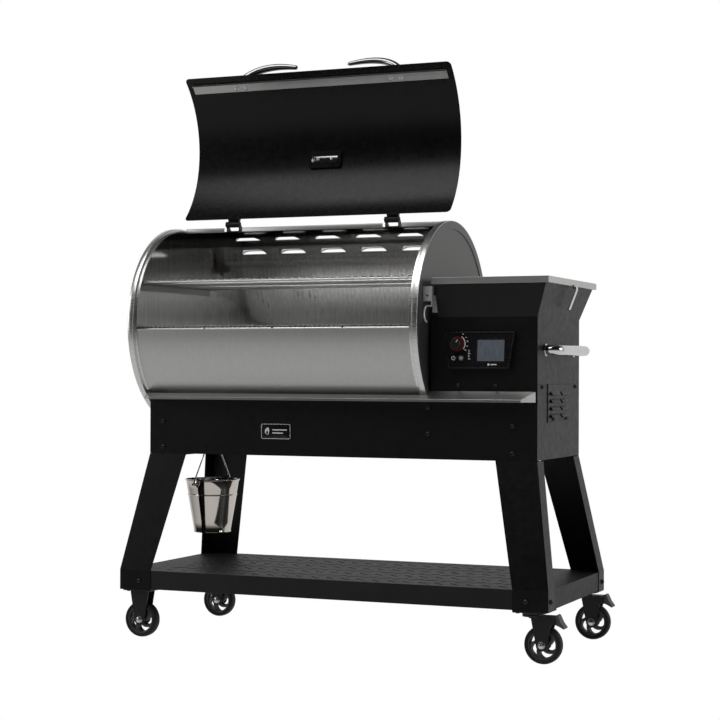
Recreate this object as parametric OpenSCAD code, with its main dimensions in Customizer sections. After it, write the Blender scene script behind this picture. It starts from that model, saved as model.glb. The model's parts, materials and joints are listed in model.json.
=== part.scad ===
// Pellet smoker grill: a horizontal barrel cooker on a wheeled cart with a pellet hopper at its right end.
// Millimetres, +Z up, front towards -Y. The origin is on the floor below the middle of the whole object.

/* [Cart] */
// Height of the lower edge of the cart body
body_bottom = 532; // [500:1:560]
// Left face of the cart body
body_left = -593; // [-600:1:-590]
// Right face of the cart body and of the hopper column
body_right = 589; // [585:1:592]
// Half the depth of the cart body
body_half_d = 201; // [199:1:203]
// Height of the front panel's upper edge
apron_top = 690; // [686:1:691]
// Sheet metal thickness of panels
sheet = 2; // [1.6:0.1:2.2]
// How far each leg spreads sideways at the foot
splay_x = 55; // [50:1:56]
// How far each leg spreads to the front or back at the foot
splay_y = 76; // [70:1:80]
// Leg width at the top
leg_w_top = 118; // [110:1:122]
// Leg width at the foot
leg_w_foot = 100; // [90:1:105]
// Depth of the leg's side flange
leg_flange = 55; // [50:1:58]
// Top of the bottom shelf
shelf_top = 196; // [190:1:200]
// Depth of the shelf's skirt
shelf_skirt = 54; // [50:1:56]

/* [Casters] */
// Wheel radius
wheel_r = 51.5; // [50:0.5:52]
// Tyre width
tyre_w = 30; // [28:1:31]
// Distance of each wheel from the centre plane
wheel_y = 243; // [240:1:245]
// Place of the left, fixed wheels
rigid_x = -592; // [-596:1:-588]
// Place of the right swivel pins
swivel_x = 590; // [586:1:592]
// Distance from swivel pin to wheel axle
trail = 31; // [30:1:32]

/* [Barrel] */
// Height of the barrel's centre line
barrel_z = 908; // [907:1:909]
// Outer radius of the barrel's skin
barrel_r = 285; // [284.5:0.5:285]
// Wall of the barrel's skin
barrel_wall = 2.5; // [2:0.5:3]
// Outer radius of the end rings
ring_r = 294; // [292:0.5:294]
// Width of the end rings
ring_w = 17; // [16:0.5:17.5]
// Outer face of the left end ring
barrel_left = -617; // [-618:1:-616]
// Outer face of the right end ring
barrel_right = 278; // [277:1:279]
// Angle of the opening's rear edge, from the back over the top
opening_rear = 86.5; // [86:0.5:87]
// Angle of the opening's front edge
opening_front = 183.5; // [183:0.5:184]

/* [Lid] */
// Inner radius of the lid
lid_r = 286.5; // [286.5:0.5:287]
// Lid thickness
lid_t = 2; // [2:0.5:2.5]
// How far the lid stands open at rest
lid_open = 134.5; // [131:0.5:135]
// Hinge pin, distance behind the centre line
lid_pivot_y = 23.5; // [23:0.5:24]
// Hinge pin, height
lid_pivot_z = 1213.7; // [1213.2:0.1:1214.2]
// Distance of each hinge from the lid's middle
hinge_offset = 258; // [250:1:262]
// Distance of each handle's foot from the lid's middle
handle_offset = 251; // [240:1:255]

/* [Hopper] */
// Left face of the hopper column
column_left = 285; // [284:1:288]
// Height where the flare starts
flare_z = 921; // [915:1:925]
// Height of the hopper's rim
hopper_rim_z = 1010; // [1005:1:1012]
// Lid height
hopper_lid_h = 18; // [16:1:20]

/* [Bucket] */
// Place of the bucket along the barrel
bucket_x = -492; // [-500:1:-485]
// Height of the bucket's rim
bucket_rim_z = 449; // [445:1:450]
// Height of the bucket's bottom
bucket_bottom_z = 289; // [286:1:292]
// Rim radius
bucket_r = 80; // [78:1:82]
// Bottom radius
bucket_r_bottom = 54; // [50:1:58]

/* [Hidden] */
$fn = 96;
gap = 0.3;
body_mid = (body_left + body_right) / 2;
body_half_w = (body_right - body_left) / 2;
leg_bolt_inset = [70, 43];
leg_bolt_x = [body_left + leg_bolt_inset[1], body_right - leg_bolt_inset[0]];
shelf_bottom = shelf_top - shelf_skirt;
foot_plate = 3;
caster_plate_z = shelf_bottom - foot_plate - 3;
axle_r = 5;
cheek_r = 16;
rim_r = 41;
running = 0.05;
barrel_mid = (barrel_left + barrel_right) / 2;
skin_left = barrel_left + ring_w;
skin_right = barrel_right - ring_w;
cap_t = 2;
inner_r = barrel_r - barrel_wall;
lid_left = skin_left + 1;
lid_right = skin_right - 1;
lid_rear = opening_rear - 0.5;
lid_front = opening_front - 0.5;
handle_angle = lid_front - 8.7;
strip_start = lid_front - 5;
strip_end = lid_front - 11.1;
bracket_angle = lid_rear + 41;
hinge_x = [barrel_mid - 10 - hinge_offset, barrel_mid - 10 + hinge_offset];
pin_r = 4;
leg_bolts = [551, 626];
panel_bolts = [601, 674];
panel_bolt_x = barrel_right - 2;
hopper_screw_x = [364, 471];
hopper_screw_z = 735;
side_screw_y = [159, 62];
side_screw_z = [731, 643];
auger_z = 700;
auger_tube_r = 30;
fire_pot_x = barrel_mid;
fire_pot_r = 65;
rack_z = 1037;
rack_front = -238;
grate_z = 894;
pan_z = 790;
rack_left = skin_left + 3;
rack_right = skin_right - 3;
panel_tilt = 4.5;
panel_y = -211;
panel_z = 831;
knob_x = 363;
knob_z = 848;
button_z = 809;
hook_r = 12;
bail_top = 573;
bail_wire = 2;
ear_z = bucket_rim_z - 14;
spout_r = 14;
spout_x = hook_r + spout_r;
rim_y = 228;
rim_x = 620;
lid_pin_x = 299;
lid_pin_z = 1004;
latch_x = 634;
latch_z = 1005;
steel_black = [0.06, 0.06, 0.065];
steel_side = [0.13, 0.13, 0.14];
stainless = [0.72, 0.72, 0.73];
chrome = [0.85, 0.85, 0.87];
rubber = [0.05, 0.05, 0.05];
grey_plastic = [0.4, 0.41, 0.42];

// A yz outline drawn as (y, z) and extruded along x
module along_x(x0, x1) {
    translate([x0, 0, 0]) rotate([90, 0, 90]) linear_extrude(x1 - x0) children();
}

// An xz outline drawn as (x, z) and extruded from y0 towards y1
module along_y(y0, y1) {
    translate([0, y1, 0]) rotate([90, 0, 0]) linear_extrude(y1 - y0) children();
}

// A box given by its two corners
module span(a, b) {
    translate(a) cube(b - a);
}

// A round bar along x, y or z
module rod_x(x0, x1, y, z, r) { translate([x0, y, z]) rotate([0, 90, 0]) cylinder(h = x1 - x0, r = r); }
module rod_y(x, y0, y1, z, r) { translate([x, y1, z]) rotate([90, 0, 0]) cylinder(h = y1 - y0, r = r); }
module rod_z(x, y, z0, z1, r) { translate([x, y, z0]) cylinder(h = z1 - z0, r = r); }

// A sector of a ring, drawn about the origin
module arc_2d(r0, r1, a0, a1) {
    steps = ceil((a1 - a0) / 60);
    intersection() {
        difference() {
            circle(r = r1, $fn = 180);
            circle(r = r0, $fn = 180);
        }
        polygon(concat([[0, 0]], [for (i = [0:steps]) let (a = a0 + (a1 - a0) * i / steps)
            [r1 * 2.2 * cos(a), r1 * 2.2 * sin(a)]]));
    }
}

// A curved sheet about the barrel's centre line
module barrel_arc(x0, x1, r0, r1, a0, a1) {
    along_x(x0, x1) translate([0, barrel_z]) arc_2d(r0, r1, a0, a1);
}

module barrel_cylinder(x0, x1, r) { rod_x(x0, x1, 0, barrel_z, r); }

// A round bar along points in the xy plane, with a radius at each point
module swept_bar(path, radii, sides = 12) {
    n = len(path);
    ring = function(i) let (d = path[min(i + 1, n - 1)] - path[max(i - 1, 0)], u = [-d.y, d.x] / norm(d))
        [for (k = [0:sides - 1]) let (a = 360 * k / sides)
            [path[i].x + radii[i] * cos(a) * u.x, path[i].y + radii[i] * cos(a) * u.y, radii[i] * sin(a)]];
    points = [for (i = [0:n - 1]) each ring(i)];
    walls = [for (i = [0:n - 2], k = [0:sides - 1]) let (a = i * sides + k, b = i * sides + (k + 1) % sides)
        each [[a, a + sides, b], [b, a + sides, b + sides]]];
    polyhedron(points, concat(walls, [[for (k = [0:sides - 1]) k]],
        [[for (k = [sides - 1:-1:0]) (n - 1) * sides + k]]));
}

// Moves children from the lid's closed place to its open place
module open_lid() {
    translate([0, lid_pivot_y, lid_pivot_z]) rotate([-lid_open, 0, 0])
        translate([0, -lid_pivot_y, -lid_pivot_z]) children();
}

// A frame on the barrel at an angle: x along the barrel, z outward, y towards smaller angles
module on_arc(x, angle, r) {
    translate([x, 0, barrel_z]) rotate([angle - 90, 0, 0]) translate([0, 0, r]) children();
}

// ---- Cart ----

module front_apron() {
    color(steel_black) difference() {
        span([body_left, -body_half_d, body_bottom], [body_right, -body_half_d + sheet, apron_top]);
        for (x = leg_bolt_x, z = leg_bolts) rod_y(x, -body_half_d - 1, -body_half_d + 5, z, 3);
        for (z = panel_bolts) rod_y(panel_bolt_x, -body_half_d - 1, -body_half_d + 5, z, 3);
    }
}

module rear_apron() {
    color(steel_black) difference() {
        span([body_left, body_half_d - sheet, body_bottom], [body_right, body_half_d, apron_top]);
        for (x = leg_bolt_x, z = leg_bolts) rod_y(x, body_half_d - 5, body_half_d + 1, z, 3);
    }
}

module left_apron_end() {
    color(steel_side) difference() {
        span([body_left, -body_half_d + sheet, body_bottom + sheet],
            [body_left + sheet, body_half_d - sheet, apron_top]);
        barrel_cylinder(body_left - 1, body_left + 5, barrel_r + 1);
    }
}

module column_side_panel() {
    vent_w = 80;
    color(steel_side) difference() {
        span([body_right - sheet, -body_half_d + sheet, body_bottom + sheet],
            [body_right, body_half_d - sheet, 738.5]);
        for (i = [0:3], s = [-1, 1])
            span([body_right - 5, s * 48 - vent_w / 2, 648 + 20.5 * i],
                [body_right + 1, s * 48 + vent_w / 2, 654 + 20.5 * i]);
        for (s = [-1, 1], i = [0, 1])
            rod_x(body_right - 5, body_right + 1, s * side_screw_y[i], side_screw_z[i], 2.5);
    }
}

// One leg in the quarter x > 0, y > 0 about the cart's middle
module leg() {
    top = body_bottom;
    x_top = body_half_w;
    x_foot = body_half_w + splay_x;
    y_foot = body_half_d + splay_y;
    t = 3;
    hull() {
        span([x_top - leg_w_top, body_half_d - t, top - 1], [x_top, body_half_d, top - 0.5]);
        span([x_foot - leg_w_foot, y_foot - t, shelf_top], [x_foot, y_foot, shelf_top + 0.5]);
    }
    hull() {
        span([x_top - t, body_half_d - leg_flange, top - 1], [x_top, body_half_d, top - 0.5]);
        span([x_foot - t, y_foot - leg_flange, shelf_top], [x_foot, y_foot, shelf_top + 0.5]);
    }
    span([x_top - leg_w_top, body_half_d - leg_flange, top - 3], [x_top, body_half_d, top - 0.5]);
    span([x_top - leg_w_top, body_half_d - sheet - gap - t, top - 3],
        [x_top - sheet - 1, body_half_d - sheet - gap, top + 108]);
    span([x_foot - leg_w_foot, y_foot - sheet, shelf_bottom], [x_foot, y_foot, shelf_top + 0.5]);
    span([x_foot - sheet, y_foot - leg_flange, shelf_bottom], [x_foot, y_foot, shelf_top + 0.5]);
    span([x_foot - leg_w_foot, y_foot - 76, shelf_bottom - foot_plate], [x_foot, y_foot, shelf_bottom]);
}

module legs_at(side) {
    translate([body_mid, 0, 0]) for (s = [0, 1]) mirror([s, 0, 0]) mirror([0, side, 0]) difference() {
        leg();
        for (z = leg_bolts) rod_y(body_half_w - leg_bolt_inset[s], body_half_d - 10, body_half_d + 1, z, 3);
    }
}

module front_legs() { color(steel_black) legs_at(1); }
module rear_legs() { color(steel_black) legs_at(0); }

module bottom_shelf() {
    half_w = body_half_w + splay_x - sheet;
    half_d = body_half_d + splay_y - sheet;
    slot_l = 46;
    slot_w = 7;
    slot_depth = 1.2;
    pitch_x = 46;
    pitch_y = 66;
    color(steel_black) translate([body_mid, 0, 0]) difference() {
        span([-half_w, -half_d, shelf_bottom], [half_w, half_d, shelf_top]);
        span([-half_w + sheet, -half_d + sheet, shelf_bottom - 1],
            [half_w - sheet, half_d - sheet, shelf_top - sheet]);
        translate([0, 0, shelf_top - slot_depth]) linear_extrude(sheet)
            for (i = [-11:11], j = [-3.5:3.5]) translate([i * pitch_x, j * pitch_y])
                rotate([0, 0, (j + 0.5) % 2 == 0 ? 45 : -45]) square([slot_l, slot_w], center = true);
    }
}

module front_ledge() {
    back = -body_half_d;
    depth = 31;
    left = barrel_left + 3;
    right = body_right - 5;
    mitre = 33;
    top = 719;
    lip_top = 697;
    color(stainless) difference() {
        intersection() {
            along_x(left, right) polygon([[back, top], [back - depth, lip_top], [back - depth, apron_top + gap],
                [back, apron_top + gap]]);
            translate([0, 0, apron_top]) linear_extrude(40) polygon([[left, back], [left + mitre, back - depth],
                [right - mitre, back - depth], [right, back]]);
        }
        intersection() {
            along_x(left, right) polygon([[back + 1, top - 3], [back - depth + 2, lip_top - 1.5],
                [back - depth + 2, apron_top + gap + 2], [back + 1, apron_top + gap + 2]]);
            translate([0, 0, apron_top]) linear_extrude(40) polygon([[left + 5, back + 1],
                [left + mitre + 1, back - depth + 1], [right - mitre - 1, back - depth + 1],
                [right - 5, back + 1]]);
        }
        barrel_cylinder(left - 1, barrel_right + 1, ring_r + gap);
    }
}

module badge_plate() {
    color(steel_side) translate([-185, -body_half_d, 601]) rotate([90, 0, 0]) linear_extrude(1.5)
        offset(r = 4) square([87, 38], center = true);
}

module louver_cover() {
    half_w = 110;
    z0 = 634;
    z1 = 738.5;
    color(steel_side) difference() {
        union() {
            span([body_right, -half_w, z0], [body_right + sheet, half_w, z1]);
            for (i = [0:3], s = [-1, 1]) translate([body_right + sheet, s * 48, 647 + 20.5 * i])
                along_y(-40, 40) polygon([[0, 0], [7, 0], [7, 2], [0, 11]]);
        }
        for (i = [0:3], s = [-1, 1]) translate([body_right, s * 48, 647 + 20.5 * i])
            along_y(-38, 38) polygon([[-1, -0.5], [7, -0.5], [7, 1.5], [1, 7.5], [-1, 7.5]]);
        for (s = [-1, 1]) rod_x(body_right - 1, body_right + 5, s * side_screw_y[1], side_screw_z[1], 2.5);
    }
}

// A round-headed screw along -y, with its head outside the face at y
module screw_front(x, y, z, r) {
    rod_y(x, y, y + 9, z, r - 0.05);
    translate([x, y, z]) rotate([90, 0, 0]) intersection() {
        translate([0, 0, -r * 1.2]) sphere(r = r * 3.2, $fn = 32);
        cylinder(h = r * 2, r = r * 2.2);
    }
}

module screw_side(y, z, r, x) {
    translate([x, y, z]) rotate([0, 0, 90]) screw_front(0, 0, 0, r);
}

module cart_bolts() {
    color(steel_side) {
        for (x = leg_bolt_x, z = leg_bolts) {
            screw_front(x, -body_half_d, z, 3);
            mirror([0, 1, 0]) screw_front(x, -body_half_d, z, 3);
        }
        for (z = panel_bolts) screw_front(panel_bolt_x, -body_half_d, z, 3);
        for (x = hopper_screw_x) screw_front(x, -body_half_d, hopper_screw_z, 2.5);
        for (s = [-1, 1]) screw_side(s * side_screw_y[0], side_screw_z[0], 2.5, body_right);
        for (s = [-1, 1]) screw_side(s * side_screw_y[1], side_screw_z[1], 2.5, body_right + sheet);
    }
}

// ---- Casters ----

// Distance of a wheel from the centre plane: 1 front, 0 rear
function side_y(front) = front == 1 ? -wheel_y : wheel_y;

module cheek(x0, x1, z1, y) {
    along_y(y - 1.5, y + 1.5) {
        polygon([[x0, z1], [x1, z1], [cheek_r, wheel_r], [-cheek_r, wheel_r]]);
        translate([0, wheel_r]) circle(r = cheek_r);
    }
}

module hex_head(x, y, z, r, h) {
    translate([x, y, z]) rotate([90, 0, 0]) cylinder(h = h, r = r, $fn = 6, center = true);
}

module axle(x, y) {
    rod_y(x, y - 22, y + 22, wheel_r, axle_r);
    for (s = [-1, 1]) hex_head(x, y + s * 22, wheel_r, 9, 5);
}

module caster_mounts() {
    z1 = caster_plate_z;
    color(steel_side) {
        for (front = [0, 1]) translate([rigid_x, 0, 0]) {
            y = side_y(front);
            span([-45, y - 34, z1], [45, y + 33, z1 + 3]);
            for (s = [-1, 1]) cheek(-30, 30, z1 + 0.5, y + s * 18);
            axle(0, y);
        }
        for (front = [0, 1]) translate([swivel_x, side_y(front), 0]) {
            span([-45, -34, z1], [45, 33, z1 + 3]);
            cylinder_at(z1 - 4, z1, 27);
            cylinder_at(z1 - 14, z1, 6);
            cylinder_at(z1 - 16, z1 - 11.5, 10);
        }
    }
}

module cylinder_at(z0, z1, r) { translate([0, 0, z0]) cylinder(h = z1 - z0, r = r); }

module swivel_fork(front) {
    z1 = caster_plate_z;
    y = side_y(front);
    color(steel_side) translate([swivel_x, y, 0]) {
        difference() {
            union() {
                cylinder_at(z1 - 11, z1 - 4.3, 27);
                span([0, -19.5, z1 - 11], [trail + 30, 19.5, z1 - 8]);
                translate([trail, 0, 0]) for (s = [-1, 1]) cheek(-trail, 30, z1 - 8, s * 18);
            }
            cylinder_at(z1 - 20, z1, 6 + running);
        }
        axle(trail, 0);
        for (s = [-1, 1]) along_y(s * 18 - 1.5, s * 18 + 1.5)
            polygon([[trail + 8, z1 - 9], [trail + 26, z1 - 30],
            [trail + 37, z1 - 30], [trail + 37, z1 - 14], [trail + 30, z1 - 9]]);
        rod_y(trail + 31, -19.5, 19.5, z1 - 22, 3);
    }
}

module swivel_fork_front() { swivel_fork(1); }
module swivel_fork_rear() { swivel_fork(0); }

module brake_pedal(front) {
    z = caster_plate_z - 22;
    color(grey_plastic) translate([swivel_x + trail, side_y(front), 0]) difference() {
        along_y(-15.5, 15.5) {
            translate([31, z]) circle(r = 6);
            polygon([[31, z + 6], [35, z + 16], [39, z + 19], [43, z + 17], [52, z - 2], [62, z - 15],
                [59, z - 18], [46, z - 11], [31, z - 5.5]]);
        }
        rod_y(31, -20, 20, z, 3 + running);
    }
}

module brake_pedal_front() { brake_pedal(1); }
module brake_pedal_rear() { brake_pedal(0); }

module tyre(x, front) {
    w = tyre_w / 2;
    color(rubber) translate([x, side_y(front), wheel_r]) rotate([90, 0, 0]) rotate_extrude($fn = 120)
        polygon([[rim_r, -w + 3], [wheel_r - 4, -w], [wheel_r - 1.5, -w + 2.5], [wheel_r, -w + 6],
            [wheel_r, w - 6], [wheel_r - 1.5, w - 2.5], [wheel_r - 4, w], [rim_r, w - 3]]);
}

module rim(x, front) {
    color(grey_plastic) translate([x, side_y(front), wheel_r]) rotate([90, 0, 0]) difference() {
        union() {
            difference() {
                cylinder(h = 24, r = rim_r, center = true);
                cylinder(h = 26, r = rim_r - 4, center = true);
            }
            cylinder(h = 10, r = rim_r - 2, center = true);
            cylinder(h = 31, r = 13, center = true);
        }
        cylinder(h = 40, r = axle_r + running, center = true);
        for (i = [0:4]) rotate([0, 0, 72 * i]) translate([25.5, 0, 0]) cylinder(h = 20, r = 8.5, center = true);
    }
}

module tyre_front_left() { tyre(rigid_x, 1); }
module tyre_rear_left() { tyre(rigid_x, 0); }
module tyre_front_right() { tyre(swivel_x + trail, 1); }
module tyre_rear_right() { tyre(swivel_x + trail, 0); }
module rim_front_left() { rim(rigid_x, 1); }
module rim_rear_left() { rim(rigid_x, 0); }
module rim_front_right() { rim(swivel_x + trail, 1); }
module rim_rear_right() { rim(swivel_x + trail, 0); }

// ---- Barrel ----

module barrel_shell() {
    vent_w = 85;
    vent_pitch = 133;
    vent_mid = barrel_mid + 8;
    lip_h = 13;
    color(stainless) difference() {
        union() {
            barrel_arc(barrel_left + 4, barrel_right - 4, inner_r, barrel_r, opening_front, 360 + opening_rear);
            for (i = [-2:2], a = [55, 70]) on_arc(vent_mid + i * vent_pitch, a, barrel_r - 1)
                along_x(-vent_w / 2, vent_w / 2)
                    polygon([[-13, 0], [-13, 1.5], [13, 13], [14.5, 11], [-11, 0]]);
            // Upright lip along the rear edge of the opening, with a break at each hinge
            difference() {
                on_arc(0, opening_rear - 1, barrel_r)
                    span([skin_left + 2, 0, -1], [skin_right - 2, sheet, lip_h]);
                for (x = hinge_x)
                    span([x - 30, -50, barrel_z + barrel_r - 1], [x + 30, 50, barrel_z + barrel_r + 30]);
            }
        }
        for (i = [-2:2], a = [55, 70]) on_arc(vent_mid + i * vent_pitch, a, barrel_r)
            span([-vent_w / 2 + 2, -10, -6], [vent_w / 2 - 2, 12, 0.6]);
        at_bucket() translate([spout_x, 0, 0])
            cylinder_at(barrel_z - barrel_r - 10, barrel_z - inner_r + 10, spout_r + gap);
    }
}

module end_caps() {
    color(stainless) difference() {
        for (x = [barrel_left + 2, barrel_right - 2 - cap_t])
            barrel_cylinder(x, x + cap_t, barrel_r);
        rod_x(barrel_right - 10, barrel_right + 1, 0, auger_z, auger_tube_r + gap);
    }
}

module end_rings() {
    color(chrome) difference() {
        union() {
            barrel_cylinder(barrel_left, barrel_left + ring_w, ring_r);
            barrel_cylinder(barrel_right - ring_w, barrel_right, ring_r);
        }
        barrel_cylinder(barrel_left + 2, barrel_right - 2, barrel_r);
        barrel_cylinder(barrel_left - 1, barrel_right + 1, 270);
    }
}

// An angle rail along y with its top face at z
module rail(front, rear, z) {
    span([-34, -front, z - 2], [0, rear, z]);
    span([-2, -front, z - 20], [0, rear, z]);
}

module grate_rails() {
    color(stainless) for (s = [0, 1]) translate([barrel_mid, 0, 0]) mirror([s, 0, 0])
        translate([barrel_right - 2 - cap_t - barrel_mid, 0, 0]) {
            rail(-rack_front, 205, rack_z - 10);
            rail(255, 255, grate_z - 6);
            rail(215, 215, pan_z);
        }
}

module hinge_bases() {
    color(stainless) for (x = hinge_x) translate([x, 0, 0]) {
        difference() {
            for (e = [-1, 1]) along_x(e * 20.3 - 2, e * 20.3 + 2) {
                translate([lid_pivot_y, lid_pivot_z]) circle(r = 9);
                polygon([[lid_pivot_y, lid_pivot_z - 7], [lid_pivot_y + 9, lid_pivot_z],
                    [lid_pivot_y + 34, barrel_z + barrel_r - 10], [lid_pivot_y, barrel_z + barrel_r - 10]]);
            }
            barrel_cylinder(-40, 40, barrel_r + gap);
        }
        barrel_arc(-22.3, 22.3, barrel_r + gap, barrel_r + 3, 74.5, 85);
        rod_x(-24, 24, lid_pivot_y, lid_pivot_z, pin_r);
    }
}

// A U-shaped tube handle along y with its flanges at x = 0
module tube_handle(reach, half_span, r) {
    bend = 28;
    for (s = [-1, 1]) {
        rod_x(0, 4, s * half_span, 0, 17);
        rod_x(0, reach - bend, s * half_span, 0, r);
        translate([reach - bend, s * (half_span - bend), 0])
            rotate([0, 0, s > 0 ? 0 : -90]) rotate_extrude(angle = 90) translate([bend, 0]) circle(r = r);
    }
    rod_y(reach, -half_span + bend, half_span - bend, 0, r);
}

module side_handles() {
    color(chrome) {
        translate([body_right, 0, 832]) tube_handle(42, 134, 14);
        translate([barrel_left + 2, 0, 869]) mirror([1, 0, 0]) tube_handle(54, 190, 14);
    }
}

module stay_bracket() {
    ear_y = [-247, -237];
    z0 = 964;
    z1 = 1004;
    // A wire loop, drawn as a narrow half ellipse that stays clear of the end cap
    loop = [for (i = [0:12]) let (a = 95 + 175 * i / 12) [9.4 * cos(a), 22 * sin(a)]];
    color(chrome) {
        for (y = ear_y) difference() {
            span([barrel_right + gap, y, z0], [302, y + 2, z1]);
            rod_y(290, y - 1, y + 3, 979, 4);
        }
        span([301.5, ear_y[0], z0], [304, -body_half_d - 0.1, z0 + 16]);
        span([301.5, ear_y[0], z0], [304, ear_y[1] + 2, z1]);
        span([289, -body_half_d - 2, z0 - 30], [304, -body_half_d - 0.05, z0 + 16]);
        translate([289, ear_y[0] + 4, 929]) rotate([90, 0, 0]) swept_bar(loop, [for (p = loop) 3]);
        span([287, ear_y[0] + 1, 949], [303, ear_y[0] + 7, 953]);
        span([301.5, ear_y[0] + 1, 949], [304, ear_y[0] + 7, z0 + 2]);
    }
}

// ---- Lid, drawn closed and then opened ----

module lid_shell() {
    color(steel_black) open_lid() difference() {
        barrel_arc(lid_left, lid_right, lid_r, lid_r + lid_t, lid_rear, lid_front);
        for (s = [-1, 1], e = [-1, 1])
            on_arc(barrel_mid + s * handle_offset + e * 16, handle_angle, 0)
                cylinder_at(lid_r - 5, lid_r + 9, 3);
    }
}

module lid_strip() {
    color(stainless) open_lid() difference() {
        union() {
            barrel_arc(lid_left + 18, lid_right - 18, lid_r - 1.5, lid_r, strip_end, strip_start);
            barrel_arc(lid_left + 18, lid_right - 18, lid_r - 8, lid_r - 1.4,
                strip_start - 0.4, strip_start - 0.1);
        }
        for (s = [-1, 1], e = [-1, 1])
            on_arc(barrel_mid + s * handle_offset + e * 16, handle_angle, 0)
                cylinder_at(lid_r - 9, lid_r + 9, 3);
    }
}

// A tapered horn that bows out from its foot and points along x towards the lid's middle
module horn(side) {
    reach = 72;
    span_x = 188;
    foot_x = -18;
    tilt = 17;
    steps = 18;
    t = [for (i = [0:steps]) i / steps];
    path = [for (a = t) [foot_x + span_x * a, reach * sin(115 * pow(a, 0.6)) + 4 * (1 - a)]];
    radii = [for (a = t) (a == 1 ? 3 : 12.5 - 6 * a * a - 3 * pow(1 - a, 3))];
    mirror([side > 0 ? 1 : 0, 0, 0]) rotate([tilt, 0, 0]) rotate([90, 0, 0]) swept_bar(path, radii);
}

module lid_handles() {
    color(chrome) open_lid() for (s = [-1, 1])
        on_arc(barrel_mid + s * handle_offset, handle_angle, lid_r + lid_t) {
            linear_extrude(12) hull() for (e = [-1, 1]) translate([e * 16, 0]) circle(r = 11);
            horn(s);
        }
}

module lid_fasteners() {
    color(chrome) open_lid() {
        for (s = [-1, 1], e = [-1, 1])
            on_arc(barrel_mid + s * handle_offset + e * 16, handle_angle, 0) {
                cylinder_at(lid_r - 10, lid_r + lid_t, 2.9);
                translate([0, 0, lid_r - 8]) cylinder(h = 6, r = 6.5, $fn = 6);
                translate([0, 0, lid_r - 8]) sphere(r = 5, $fn = 24);
            }
        for (e = [-1, 1]) on_arc(barrel_mid + e * 22, bracket_angle, 0) {
            translate([0, 0, lid_r - 13]) cylinder(h = 5, r = 6.5, $fn = 6);
            translate([0, 0, lid_r - 13]) sphere(r = 5, $fn = 24);
        }
    }
}

module lid_bracket() {
    color(steel_black) open_lid() on_arc(barrel_mid, bracket_angle, 0) {
        translate([0, 0, lid_r - 8]) linear_extrude(2) offset(r = 6) square([92, 40], center = true);
        for (s = [-1, 1]) span([-44, s * 23 - 1, lid_r - 8], [44, s * 23 + 1, lid_r - 2]);
    }
}

module hinge_arms() {
    color(steel_black) open_lid() for (x = hinge_x) translate([x, 0, 0]) difference() {
        along_x(-18, 18) translate([lid_pivot_y, lid_pivot_z]) {
            circle(r = 9);
            polygon([[4, 8], [-9, -6], [-14, -20], [-60, -24], [-62, -15], [-14, 2]]);
        }
        barrel_cylinder(-30, 30, lid_r + lid_t + 0.05);
        rod_x(-30, 30, lid_pivot_y, lid_pivot_z, pin_r + running);
    }
}

// ---- Inside the barrel ----

module upper_rack() {
    x0 = rack_left;
    x1 = rack_right;
    y0 = rack_front;
    y1 = 200;
    rods = 40;
    color(stainless) {
        for (i = [0:rods]) let (x = x0 + 4 + (x1 - x0 - 8) * i / rods)
            span([x - 2, y0, rack_z - 4], [x + 2, y1, rack_z]);
        for (y = [y0, y0 + 144, y1 - 150, y1 - 6]) span([x0, y, rack_z - 10], [x1, y + 6, rack_z - 4]);
    }
}

module main_grates() {
    x0 = rack_left;
    x1 = rack_right;
    panels = 4;
    gap_x = 4;
    w = (x1 - x0 - gap_x * (panels - 1)) / panels;
    bars = 11;
    color(stainless) for (p = [0:panels - 1]) translate([x0 + p * (w + gap_x), 0, 0]) {
        for (i = [0:bars]) let (x = (w - 6) * i / bars) span([x, -262, grate_z], [x + 6, 262, grate_z + 8]);
        for (y = [-262, -90, 84, 256]) span([0, y, grate_z - 6], [w, y + 6, grate_z]);
    }
}

module drip_pan() {
    color(stainless) difference() {
        span([barrel_left + 8, -222, pan_z], [barrel_right - 8, 222, pan_z + 32]);
        span([barrel_left + 10, -220, pan_z + 2], [barrel_right - 10, 220, pan_z + 40]);
        span([bucket_x - 4, -30, pan_z - 10], [bucket_x + 56, 30, pan_z + 10]);
    }
}

module heat_deflector() {
    color(steel_side) {
        along_x(fire_pot_x - 190, fire_pot_x + 190) polygon([[-130, 756], [0, 776], [130, 756], [130, 753],
            [0, 773], [-130, 753]]);
        for (s = [-1, 1], e = [-1, 1]) difference() {
            span([fire_pot_x + e * 180 - 1, s * 115 - 10, 640], [fire_pot_x + e * 180 + 1, s * 115 + 10, 754]);
            difference() {
                barrel_cylinder(fire_pot_x - 200, fire_pot_x + 200, barrel_r + 30);
                barrel_cylinder(fire_pot_x - 201, fire_pot_x + 201, inner_r);
            }
        }
    }
}

module fire_pot() {
    bottom = barrel_z - inner_r + 14;
    color(steel_side) translate([fire_pot_x, 0, 0]) difference() {
        union() {
            cylinder_at(bottom, 742, fire_pot_r);
            difference() {
                span([-40, -30, barrel_z - inner_r - 1], [40, 30, bottom + 2]);
                difference() {
                    barrel_cylinder(-60, 60, barrel_r + 30);
                    barrel_cylinder(-61, 61, inner_r);
                }
            }
        }
        cylinder_at(bottom + 3, 760, fire_pot_r - 3);
        rod_x(30, 80, 0, auger_z, 26);
        for (i = [0:11]) rotate([0, 0, 15 + 30 * i]) rod_x(50, 80, 0, 664, 4);
    }
}

module auger_tube() {
    x0 = fire_pot_x + fire_pot_r + 0.5;
    color(steel_side) difference() {
        union() {
            rod_x(x0, 486, 0, auger_z, auger_tube_r);
            span([406, -34, auger_z + 8], [474, 34, auger_z + 36]);
        }
        rod_x(x0 - 1, 490, 0, auger_z, auger_tube_r - 2);
        span([412, -28, auger_z], [468, 28, auger_z + 40]);
    }
}

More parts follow.
